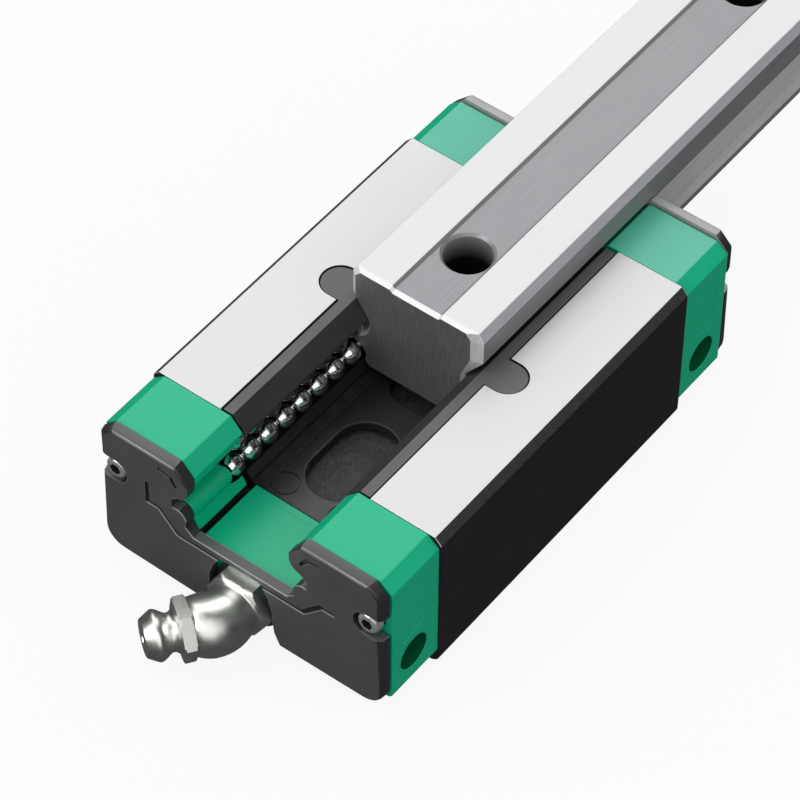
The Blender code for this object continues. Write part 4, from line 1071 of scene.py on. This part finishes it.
def make_cap(end_name, end):
    cap = bar(f"dressed_cap_{end_name}", cap_outline(), end * CAP_INNER, end * CAP_OUTER, 0.3)
    low, high = CHANNEL_FLOOR + GAP, CAP_FLOOR - 0.02
    tongue = [(TONGUE_HALF, low), (TONGUE_HALF, high), (-TONGUE_HALF, high), (-TONGUE_HALF, low)]
    inner_reach = min(abs(corner.x) for corner in span(f"end_cap_{end_name}"))
    carve(cap, [bar("tongue", tongue, end * inner_reach, end * (CAP_INNER + TONGUE_LAP), 0.1, 0.08)], "UNION")
    port_profile = [(-1, PORT_RADIUS + PORT_RIM), (0, PORT_RADIUS + PORT_RIM),
                    (PORT_RIM, PORT_RADIUS), (PORT_DEPTH, PORT_RADIUS)]
    tools = []
    for side in SIDES.values():
        for row in ROWS.values():
            tools.append(half_turn(row, side, end, GROOVE_RADIUS))
            tools.append(guide_pocket(row, side, end))
        start = Vector((end * (CAP_INNER - 1), side * SCREW_PLACE[0], SCREW_PLACE[1]))
        tools.append(turned("screw hole", start, end * X_AXIS, [(0, 1.55), (12, 1.55)], 24))
        port = Vector((end * PORT_X, side * (CAP_HALF + 0.02), PORT_Z))
        tools.append(turned("side port", port, -side * Y_AXIS, port_profile, 64))
        tools.append(side_panel(side, end))
    lube = Vector((end * (CAP_OUTER + 1), 0, NIPPLE_HEIGHT))
    tools.append(turned("lube hole", lube, -end * X_AXIS, LUBE_HOLE, 48))
    carve(cap, tools)

    def choose(middle, normal):
        """The ball turns and the slot beside the floor are painted black as shade, the ports get painted
        shade in deep green, and the far cap's tops a painted sheen.
        """
        y = abs(middle.y)
        # The slot beside the floor is painted black as shade.
        if CAP_FLOOR_HALF - 0.05 < y < SLOT_HALF + 0.05 and middle.z < RIDGE_FOOT[-1][1]:
            return "black"
        # The inside of each port gets painted shade.
        to_port = math.hypot(middle.x - end * PORT_X, middle.z - PORT_Z)
        if to_port < PORT_RADIUS + 0.01 and CAP_HALF - 2.5 < y < CAP_HALF - PORT_RIM:
            return "deep"
        # The ball turns are painted black inside as shade.
        if on_ball_turn(middle, end):
            return "black"
        # The far cap's top faces get a painted sheen.
        return "pale" if end > 0 and normal.z > 0.9 and middle.z > RAIL_WAIST_HEIGHT else "green"

    paint(cap, {"green": green, "pale": green_painted_sheen, "deep": green_port_painted_shade, "black": black}, choose)
    dress(cap, "carriage", "cap_plastic", f"end_cap_{end_name}")


for end_name, end in ENDS.items():
    make_cap(end_name, end)

# %% [markdown]
# ## The end seals
# Each seal is a thin plate that covers its cap. Its throat follows the rail's section closely, and
# a shallow groove runs round it where the lip begins, with painted shade on its back and a painted
# highlight on the wall that looks up. The plate arches over the nipple and has side notches for the
# cap screws. A rounded ridge along the top of each leg has a painted highlight, and the seal's sides
# have painted shade.

# %% The end seals
SEAL_BOTTOM = seal_low.z
SEAL_TOP = seal_high.z + SEAL_TOP_EXTRA
SEAL_CORNER = 2.0
SEAL_FOOT = 3.0
LIP_CLEARANCE = 0.35
ARCH = [(0.0, 12.0), (2.7, 12.0), (3.5, 11.2), (4.2, 10.0), (4.85, 8.0), (4.95, 6.0)]
NOTCH = 1.9
EDGE_STEPS = [(0.0, 0.05), (0.06, 0.0), (1.0, 0.12), (1.32, 0.26), (1.45, 0.42), (1.5, 0.6)]
GROOVE_DEPTH = 0.17
GROOVE_OUTER = [(0.0, 11.2), (9.8, 11.2), (12.6, 14.25), (14.5, 14.25)]
GROOVE_SLOT = [(14.5, 18.3), (13.8, 18.3), (13.8, 15.0)]
GROOVE_CORNER = (14.5, 15.0)
GROOVE_INNER = [(12.2, 15.0), (9.4, 11.95), (0.0, 11.95)]
GROOVE_HALF, GROOVE_LOW, GROOVE_HIGH = 14.6, 11.1, 18.4
SLIT = [(10.2, 22.3), (12.4, 22.5), (12.3, 21.9), (10.5, 21.5), (9.6, 20.2), (9.2, 20.6)]
SLIT_DEPTH = 0.5


def seal_outline(bevel):
    """The seal's section, shrunk by a bevel on its outer edges only."""
    lip = [(y, z) for y, z in inset(rail_outline(), -LIP_CLEARANCE) if y > 0 and z < SEAL_TOP - 0.35]
    half_width = SEAL_HALF - 2 * bevel
    top = SEAL_TOP - bevel
    bottom = SEAL_BOTTOM + bevel / 2
    foot = (SEAL_HALF - SEAL_FOOT, SEAL_BOTTOM + SEAL_FOOT)
    half = [
        *ARCH,
        (ARCH[-1][0] + 0.2, SEAL_BOTTOM + 2.2),
        (6.0, bottom),
        *[(y, max(z, bottom)) for y, z in arc(foot, SEAL_FOOT - bevel, -90, 0, 8)],
        (half_width, SCREW_PLACE[1] - NOTCH),
        *arc((SCREW_PLACE[0] - 0.1, SCREW_PLACE[1]), NOTCH, 270, 90, 16),
        (half_width, SCREW_PLACE[1] + NOTCH),
        (half_width, SEAL_TOP - SEAL_CORNER),
        (SEAL_HALF - SEAL_CORNER - bevel, top),
        (THROAT_HALF - 0.1, top),
        *reversed(lip),
    ]
    return mirrored(half)


def seal_finish(middle, normal):
    """Painted shade on the faces that look sideways, a painted sheen on the far seal, and a painted
    highlight on the ridges.

    In the groove round the throat, the walls that look up get a painted highlight, and the rest is
    painted black as shade.
    """
    depth = SEAL_OUTER - abs(middle.x)
    in_groove = abs(middle.y) < GROOVE_HALF and GROOVE_LOW < middle.z < GROOVE_HIGH
    # Painted light in the groove: the walls that look up get a painted highlight, the rest is painted black
    # as shade.
    if 0.05 < depth < 0.3 and in_groove:
        return "black" if abs(normal.x) > 0.5 or normal.z < 0.1 else "pale"
    # Painted shade on the faces that look sideways.
    if abs(normal.y) > 0.35:
        return "side"
    # Painted sheen on the far seal.
    if middle.x > 0 and (normal.x < -0.9 or normal.z > 0.2):
        return "pale"
    # Painted highlight on the ridge's narrow faces.
    return "ridge" if normal.z > 0.2 and 0.5 < abs(normal.x) < 0.99 else "face"


def face_cut(name, side, end, outline, depth):
    """A cutter into a seal's outer face."""
    sided = [(side * y, z) for y, z in outline]
    return skin(name, [at_x(end * (SEAL_OUTER - depth), sided), at_x(end * (SEAL_OUTER + 0.5), sided)])


def make_seal(end_name, end):
    sections = [at_x(end * (SEAL_INNER + depth), seal_outline(bevel)) for depth, bevel in EDGE_STEPS]
    seal = skin(f"dressed_seal_{end_name}", sections)
    tools = []
    for side in SIDES.values():
        turn_back = GROOVE_SLOT if side > 0 else [GROOVE_CORNER]
        groove = GROOVE_OUTER + turn_back + GROOVE_INNER
        tools.append(face_cut("lip groove", side, end, groove, GROOVE_DEPTH))
    for side in SIDES.values():
        tools.append(face_cut("slit", side, end, fillet(SLIT, 0.15), SLIT_DEPTH))
    carve(seal, tools)
    finishes = {"face": charcoal, "side": charcoal_painted_shade, "ridge": charcoal_painted_highlight, "pale": charcoal_painted_sheen,
                "black": black}
    paint(seal, finishes, seal_finish)
    dress(seal, "carriage", "seal_rubber", f"end_seal_{end_name}", sharp=50.0)


for end_name, end in ENDS.items():
    make_seal(end_name, end)

# %% [markdown]
# ## The bottom strips and the retainer
# A strip lies on a shelf beside the channel, slopes down to a lip at the rail's waist and is held
# by a half-round tab at its middle. The black retainer on the channel's floor keeps the lower
# balls in, and its windows show the rough steel beneath.

# %% The bottom strips
STRIP_TOP = strip_high.z
STRIP_SHELF = STRIP_TOP - 0.8
STRIP_LIP = 7.62
TAB_THICKNESS = 0.7


def make_strip(side_name, side):
    outline = [
        (POCKET_HALF - 0.2, STRIP_TOP),
        (POCKET_HALF - 0.2, STRIP_SHELF),
        (BASE_ROW[0] + 0.2, STRIP_SHELF),
        *arc(BASE_ROW, GROOVE_RADIUS, 97, 156, 10),
        (STRIP_LIP, 21.15),
        (STRIP_LIP, 21.45),
        (THROAT_HALF, STRIP_TOP),
    ]
    sided = [(side * y, z) for y, z in outline]
    name = f"bottom_seal_{side_name}"
    strip = bar(f"dressed_{name}", sided, strip_low.x, strip_high.x, 0.06, 0.05)
    carve(strip, [tab_plate("tab", side, 0.0, STRIP_TOP - TAB_THICKNESS, STRIP_TOP)], "UNION")

    # Faces that look up keep the grey rubber. The slope and lip get painted shade.
    def choose(middle, normal):
        if normal.z > 0.9 and abs(middle.y) > POCKET_HALF - 0.2:
            return "tab"
        return "grey" if normal.z > 0.9 else "dark"

    paint(strip, {"grey": strip_grey, "dark": strip_rubber_painted_shade, "tab": tab_grey}, choose)
    dress(strip, "carriage", "strip_rubber", name)


for side_name, side in SIDES.items():
    make_strip(side_name, side)

# %% The centre retainer
RETAINER_TOP = 11.6
RIB_INNER, RIB_OUTER, RIB_HEIGHT = 5.85, 6.7, 0.25
LEDGE = (7.75, 12.1)
WINDOW_WIDTH = 8.4
MARK_X, MARK_Y = 21.8, 4.4
MARK_RADII = (1.85, 1.7)
MARK_DEPTH = 0.35


def retainer_outline():
    half = [
        (retainer_high.y, CHANNEL_FLOOR + GAP),
        (retainer_high.y, HEAD_ROW[1] - GROOVE_RADIUS),
        *arc(HEAD_ROW, GROOVE_RADIUS, 264, 228, 6),
        (LEDGE[0] + 0.4, LEDGE[1] + 0.5),
        LEDGE,
        (LEDGE[0], RETAINER_TOP),
        (RIB_OUTER, RETAINER_TOP),
        (RIB_OUTER, RETAINER_TOP + RIB_HEIGHT),
        (RIB_INNER, RETAINER_TOP + RIB_HEIGHT),
        (RIB_INNER, RETAINER_TOP),
    ]
    return mirrored(half)


def window_plan(middle_x, length, width, edge):
    """An outline with round ends, grown by an edge."""
    radius = min(length, width) / 2
    along, across = length / 2 - radius, width / 2 - radius
    plan = []
    for start, (sx, sy) in zip((0, 90, 180, 270), ((1, 1), (-1, 1), (-1, -1), (1, -1))):
        plan += arc((middle_x + sx * along, sy * across), radius + edge, start, start + 90, 12)
    return [point for i, point in enumerate(plan) if math.dist(point, plan[i - 1]) > 1e-6]


def window(middle_x, length):
    """A cutter whose mouth flares, so that the window gets a rounded rim."""
    steps = [(CHANNEL_FLOOR, 0.0), (RETAINER_TOP - 0.3, 0.0), (RETAINER_TOP - 0.09, 0.09),
             (RETAINER_TOP + 0.02, 0.32), (RETAINER_TOP + 0.6, 0.32)]
    plans = [(z, window_plan(middle_x, length, WINDOW_WIDTH, edge)) for z, edge in steps]
    return skin("window", [[(x, y, z) for x, y in plan] for z, plan in plans])


def moulding_mark(centre):
    """A cutter for the round mark that a moulding pin leaves."""
    outer, inner = MARK_RADII
    corners = ((0.0, outer), (MARK_DEPTH, outer), (MARK_DEPTH, inner), (0.0, inner))
    rings = [ring(centre - UP * depth, X_AXIS, Y_AXIS, radius, 48) for depth, radius in corners]
    return skin("moulding mark", rings, loop=True)


retainer = bar("dressed_retainer", retainer_outline(), retainer_low.x, retainer_high.x, 0.08, 0.06)
tools = [window(0.0, 5.6)]
for end in ENDS.values():
    tools.append(window(end * 14.0, 13.5))
    for side in SIDES.values():
        tools.append(moulding_mark(Vector((end * MARK_X, side * MARK_Y, RETAINER_TOP + 0.2))))
carve(retainer, tools)
paint(retainer, {"black": black})
dress(retainer, "carriage", "retainer_plastic", "centre_retainer")

# %% [markdown]
# ## The cap screws
# Four small socket screws hold the caps and sit in the seals' notches. They are the same screw
# four times, so one turned screw is modelled and a geometry tree puts it on four points, turned
# half round at the near end.


# %% One screw
def socket_cut(name, steps, height=0.0, lean=0.0):
    """A hexagonal cutter along X, through (place, radius) steps."""
    corners = [math.radians(60 * i + lean) for i in range(6)]
    return skin(name, [[Vector((x, radius * math.cos(a), height + radius * math.sin(a))) for a in corners]
                       for x, radius in steps])


SCREW_SEAT = CAP_OUTER + GAP
SCREW_TIP = BLOCK_END - 6.5
SCREW_HEAD = [(0.0, 1.25), (0.0, 1.5), (0.08, 1.55), (0.95, 1.55), (1.2, 1.45), (1.36, 1.25), (1.4, 1.05)]
SOCKET_STEPS = [(2.45, 0.85), (1.45, 0.85), (0.5, 0.7)]
screw_profile = [(SCREW_TIP, 0.95), (SCREW_TIP + 0.3, 1.25)]
screw_profile += [(SCREW_SEAT + reach, radius) for reach, radius in SCREW_HEAD]
screw = turned("cap_screws", Vector((0, 0, 0)), X_AXIS, screw_profile, 36)
carve(screw, [socket_cut("socket", [(SCREW_SEAT + reach, radius) for reach, radius in SOCKET_STEPS])])
# The socket's faces are marked, so that they can be painted black as shade.
in_socket = screw.data.attributes.new("socket", "BOOLEAN", "FACE")
for face in screw.data.polygons:
    x, y, z = face.center / MM
    in_socket.data[face.index].value = SCREW_SEAT + 0.3 < x < SCREW_SEAT + 1.38 and math.hypot(y, z) < 0.84
print("socket faces:", sum(item.value for item in in_socket.data))


# %% Four screws, by geometry nodes
def screw_tree():
    """The screw that comes in, put on four points, with its socket in a finish of its own."""
    graph, given = geometry_tree("cap screws", {"Side": 0.0193, "Height": 0.01675, "Finish": "Material",
                                                "Socket finish": "Material"})
    grid = graph.add("GeometryNodeMeshGrid", {
        "Vertices X": 2, "Vertices Y": 2, "Size X": 0.000001,
        "Size Y": graph.maths("MULTIPLY", given["Side"], 2.0)})
    points = lifted(graph, grid, given["Height"])
    place = graph.add("GeometryNodeInputPosition")
    x = graph.add("ShaderNodeSeparateXYZ", {"Vector": place}, out="X")
    near = graph.add("FunctionNodeCompare", {0: x}, data_type="FLOAT", operation="LESS_THAN")
    facing = graph.add("ShaderNodeCombineXYZ", {"Z": graph.maths("MULTIPLY", near, math.pi)})
    screws = placed(graph, points, given["Geometry"], Rotation=facing)
    marked = graph.add("GeometryNodeInputNamedAttribute", {"Name": "socket"}, out="Attribute",
                       data_type="BOOLEAN")
    plain = coated(graph, screws, given["Finish"])
    graph.add("NodeGroupOutput", {"Geometry": coated(graph, plain, given["Socket finish"], Selection=marked)})
    return graph.tree


# The socket gets black: painted shade in the hole.
run_tree(screw, screw_tree(), {"Side": SCREW_PLACE[0] * MM, "Height": SCREW_PLACE[1] * MM,
                               "Finish": zinc, "Socket finish": black})
dress(screw, "carriage", "screw_steel", *[f"cap_screw_{end}_{side}" for end in ENDS for side in SIDES])

# %% The lube plug in the far cap
PLUG_LENGTH = 4.5
PLUG_PROFILE = [(0, 2.55), (0.4, 2.95), (4.2, 2.95), (4.4, 2.85), (PLUG_LENGTH, 2.65)]
PLUG_SOCKET = [(CAP_OUTER - 2.0, 1.5), (CAP_OUTER + 1.0, 1.5)]
plug_start = Vector((CAP_OUTER - PLUG_LENGTH, 0, NIPPLE_HEIGHT))
plug = turned("dressed_lube_plug", plug_start, X_AXIS, PLUG_PROFILE, 48)
carve(plug, [socket_cut("plug socket", PLUG_SOCKET, NIPPLE_HEIGHT, 30)])
paint(plug, {"zinc": zinc})
dress(plug, "carriage", "screw_steel", "lube_plug")

# %% [markdown]
# ## The grease nipple
# The nipple is turned and milled from bar, then bent: a thread stub, a sealing washer, a hexagon,
# an elbow, a thin hexagonal collar and a coned head with a small mouth. The elbow is a fan of
# rings round one pivot. Every station is a ring of the same number of points, so a hexagon is
# only a ring whose radius changes round it.

# %% The grease nipple
BEND_ANGLE = 35.5
BEND = Vector((-CAP_OUTER - 5.35, 0, NIPPLE_HEIGHT))
THREAD_RADIUS = 2.95
NIPPLE_HEX = 8.4
HEX_TRIM = 4.5
NO_TRIM = 100.0
HEX_REACH = 2.65
BODY_RADIUS = 3.85
ELBOW_BULGE = 0.27
ELBOW_STEPS = 10
SHOULDER = [(1.8, 0.27, 4.13), (2.5, 0.2, 4.06), (3.2, 0.1, 3.92)]
WASHER_RADIUS = 4.88
WASHER_THICKNESS = 0.18
COLLAR_HEX = 7.35
COLLAR_TRIM = 4.0
COLLAR_LEAN = 10.0
COLLAR_START, COLLAR_END = 3.95, 5.55
HEAD_PROFILE = [
    (5.55, 3.3), (5.7, 3.0), (5.95, 2.7), (6.25, 2.5), (6.65, 2.45), (7.0, 2.65), (7.5, 3.0), (7.9, 3.22),
    (8.15, 3.3), (8.4, 3.27), (8.7, 3.12), (9.75, 2.5), (9.87, 2.38), (9.9, 2.2), (9.9, 0.85), (9.7, 0.75),
]
NIPPLE_SIDES = 72
head_turn = math.radians(BEND_ANGLE)
HEAD_AXIS = Vector((-math.cos(head_turn), math.sin(head_turn), 0))
HEAD_ACROSS = Vector((math.sin(head_turn), math.cos(head_turn), 0))
NIPPLE_BACK = -SEAL_INNER


def hexagon(centre, across, width, trim, lean=0.0):
    """A hexagon with a flat up or leaning, drawn with a ring's points and trimmed at its corners."""
    points = []
    for i in range(NIPPLE_SIDES):
        angle = 360.0 * i / NIPPLE_SIDES
        reach = width / 2 / math.cos(math.radians((angle + lean) % 60.0 - 30.0))
        direction = across * math.cos(math.radians(angle)) + UP * math.sin(math.radians(angle))
        points.append(centre + direction * min(reach, trim))
    return points


def nipple_sections():
    """Every station of the nipple, from the thread's end to the mouth."""
    front = NIPPLE_BACK - HEX_REACH
    stub = -CAP_OUTER + 4.6
    washer_front = NIPPLE_BACK - WASHER_THICKNESS
    foot = NIPPLE_HEX / 2 - 0.1

    def round_at(x, radius):
        return ring(Vector((x, 0, NIPPLE_HEIGHT)), Y_AXIS, UP, radius, NIPPLE_SIDES)

    def hexagon_at(x, trim=NO_TRIM):
        return hexagon(Vector((x, 0, NIPPLE_HEIGHT)), Y_AXIS, NIPPLE_HEX, trim)

    def round_on_head(reach, radius, outward=0.0):
        centre = BEND + HEAD_AXIS * reach - HEAD_ACROSS * outward
        return ring(centre, HEAD_ACROSS, UP, radius, NIPPLE_SIDES)

    def collar_at(reach, trim=NO_TRIM):
        return hexagon(BEND + HEAD_AXIS * reach, HEAD_ACROSS, COLLAR_HEX, trim, COLLAR_LEAN)

    sections = [
        round_at(stub, THREAD_RADIUS - 0.4), round_at(stub - 0.4, THREAD_RADIUS),
        round_at(NIPPLE_BACK, THREAD_RADIUS), round_at(NIPPLE_BACK, WASHER_RADIUS),
        round_at(washer_front, WASHER_RADIUS), round_at(washer_front, foot),
        hexagon_at(NIPPLE_BACK - 0.25, HEX_TRIM), hexagon_at(NIPPLE_BACK - 0.45),
        hexagon_at(front + 0.55), hexagon_at(front + 0.3, HEX_TRIM), round_at(front, foot),
        round_at(front, BODY_RADIUS + 0.12), round_at(front - 0.12, BODY_RADIUS),
    ]
    pivot = BEND + Vector((math.tan(head_turn / 2) * BODY_RADIUS, BODY_RADIUS, 0))
    for i in range(ELBOW_STEPS + 1):
        a = head_turn * i / ELBOW_STEPS
        across = Vector((math.sin(a), math.cos(a), 0))
        radius = BODY_RADIUS + ELBOW_BULGE * math.sin(math.pi * i / (2 * ELBOW_STEPS))
        sections.append(ring(pivot - across * radius, across, UP, radius, NIPPLE_SIDES))
    sections += [round_on_head(reach, radius, outward) for reach, outward, radius in SHOULDER]
    sections += [
        round_on_head(3.75, BODY_RADIUS - 0.1), round_on_head(COLLAR_START, BODY_RADIUS - 0.3),
        collar_at(COLLAR_START, COLLAR_TRIM), collar_at(COLLAR_START + 0.15),
        collar_at(COLLAR_END - 0.15), collar_at(COLLAR_END, COLLAR_TRIM),
    ]
    return sections + [round_on_head(reach, radius) for reach, radius in HEAD_PROFILE]


MOUTH_RADIUS = 0.75
MOUTH_START = 10.5
SEAT_REACH = 8.7
CHAMBER_RADIUS = 1.5
nipple = skin("dressed_nipple", nipple_sections())
mouth_profile = [(0, MOUTH_RADIUS), (MOUTH_START - SEAT_REACH + 0.3, MOUTH_RADIUS)]
mouth = turned("mouth", BEND + HEAD_AXIS * MOUTH_START, -HEAD_AXIS, mouth_profile, 32)
chamber_profile = [(0, CHAMBER_RADIUS), (SEAT_REACH - 2.1, CHAMBER_RADIUS)]
chamber = turned("chamber", BEND + HEAD_AXIS * SEAT_REACH, -HEAD_AXIS, chamber_profile, 32)
carve(nipple, [mouth, chamber])


def nipple_finish(middle, normal):
    """The washer is black, the flats of both hexagons are milled, and the rest is turned bright."""
    from_thread = math.hypot(middle.y, middle.z - NIPPLE_HEIGHT)
    if middle.x > NIPPLE_BACK - WASHER_THICKNESS - 0.01 and from_thread > NIPPLE_HEX / 2 - 0.1:
        return "black"
    if middle.x > NIPPLE_BACK - 2.2 and from_thread > NIPPLE_HEX / 2 - 0.05 and abs(normal.x) < 0.1:
        return "milled"
    on_head = middle - BEND
    reach = on_head.dot(HEAD_AXIS)
    from_head = (on_head - HEAD_AXIS * reach).length
    flat = abs(normal.dot(HEAD_AXIS)) < 0.1
    return "milled" if 4.0 < reach < 5.5 and from_head > COLLAR_HEX / 2 - 0.05 and flat else "nickel"


paint(nipple, {"nickel": nickel, "milled": milled, "black": black}, nipple_finish)
dress(nipple, "carriage", "nipple_plating", "grease_nipple", sharp=30.0)

# %% The check ball
check_low, check_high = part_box("nipple_check_ball")
centre = (Vector(check_low) + Vector(check_high)) / 2
bm = bmesh.new()
bmesh.ops.create_icosphere(bm, subdivisions=3, radius=(check_high[2] - check_low[2]) / 2)
bmesh.ops.translate(bm, verts=bm.verts[:], vec=centre)
mesh = bpy.data.meshes.new("check ball")
bm.to_mesh(mesh)
bm.free()
mesh.materials.append(chrome_ball)
check_ball = add_object("dressed_check_ball", mesh)
dress(check_ball, "check_ball", "ball_steel", "nipple_check_ball", sharp=60.0)

# %% [markdown]
# ## Floor, light and room
# The floor is plain and pale, and keeps the part's shadow. Plain surfaces get an even light from
# all round and one soft sun from the upper left. Mirror surfaces need something to show, so they
# see a room instead: two soft boxes, a bright side window and a dim ceiling over a dark floor.

# %% Floor
FLOOR_HALF = 3.0
FLOOR_HEIGHT = -0.0001
floor_mesh = bpy.data.meshes.new("floor")
corners = [(x * FLOOR_HALF, y * FLOOR_HALF, FLOOR_HEIGHT) for x, y in ((-1, -1), (1, -1), (1, 1), (-1, 1))]
floor_mesh.from_pydata(corners, [], [(0, 1, 2, 3)])
floor = add_object("floor", floor_mesh)
floor_finish = Finish("pale floor", 0.9, specular=0.0)
floor_finish.shader.inputs["Base Color"].default_value = (0.93, 0.93, 0.935, 1.0)
ray = floor_finish.add("ShaderNodeLightPath", out="Is Camera Ray")


def card(*colour):
    """A sheet that glows evenly in one colour."""
    return floor_finish.add("ShaderNodeEmission", {"Color": (*colour, 1.0)})


def mixed(factor, first, second):
    return floor_finish.add("ShaderNodeMixShader", {0: factor, 1: first, 2: second})


paper = mixed(0.9, floor_finish.shader.outputs[0], card(1.0, 1.0, 1.0))
for_light = mixed(ray.node.outputs["Is Glossy Ray"], card(0.2, 0.2, 0.2), card(0.06, 0.06, 0.062))
surface = floor_finish.tree.nodes["Material Output"].inputs["Surface"]
floor_finish.tree.links.new(mixed(ray, for_light, paper), surface)
floor_mesh.materials.append(floor_finish.material)

# %% World
world = bpy.data.worlds.new("studio")
bpy.context.scene.world = world
world.use_nodes = True
world.node_tree.nodes.clear()
EVEN_LIGHT = 0.97
sky = Graph(world.node_tree)
direction = sky.add("ShaderNodeTexCoord", out="Generated")


def lamp_shape(toward, inner, outer, strength):
    """A soft disc of light on the sky: full inside the inner cosine, none outside the outer one."""
    facing = sky.add("ShaderNodeVectorMath", {0: direction, 1: Vector(toward).normalized()}, out="Value",
                     operation="DOT_PRODUCT")
    return sky.add("ShaderNodeMapRange", {"Value": facing, "From Min": outer, "From Max": inner,
                                          "To Max": strength}, interpolation_type="SMOOTHSTEP")


def chosen(factor, first, second):
    return sky.add("ShaderNodeMix", {0: factor, 2: first, 3: second})


softbox = lamp_shape((0.52, 0.42, 0.75), 0.93, 0.78, 2.9)
near_box = lamp_shape((-0.66, -0.48, 0.55), 0.93, 0.74, 1.5)
side_window = lamp_shape((-0.73, 0.38, 0.56), 0.98, 0.94, 10.0)
ceiling = lamp_shape((0, 0, 1), 0.95, 0.3, 0.1)
boxes = sky.maths("ADD", softbox, near_box)
mirror_sky = sky.maths("ADD", boxes, sky.maths("ADD", side_window, ceiling))
ray = sky.add("ShaderNodeLightPath", out="Is Camera Ray")
lit = chosen(ray.node.outputs["Is Glossy Ray"], EVEN_LIGHT, mirror_sky)
background = sky.add("ShaderNodeBackground", {"Strength": chosen(ray, lit, 1.0)})
sky.add("ShaderNodeOutputWorld", {"Surface": background})

# %% Sun
sun_data = bpy.data.lights.new("soft sun", "SUN")
sun_data.energy = 0.35
sun_data.angle = math.radians(35)
sun = add_object("soft sun", sun_data)
sun.rotation_mode = "QUATERNION"
sun.rotation_quaternion = Vector((-0.35, 0.55, 1.0)).to_track_quat("Z", "Y")
bpy.context.scene.view_settings.view_transform = "Standard"
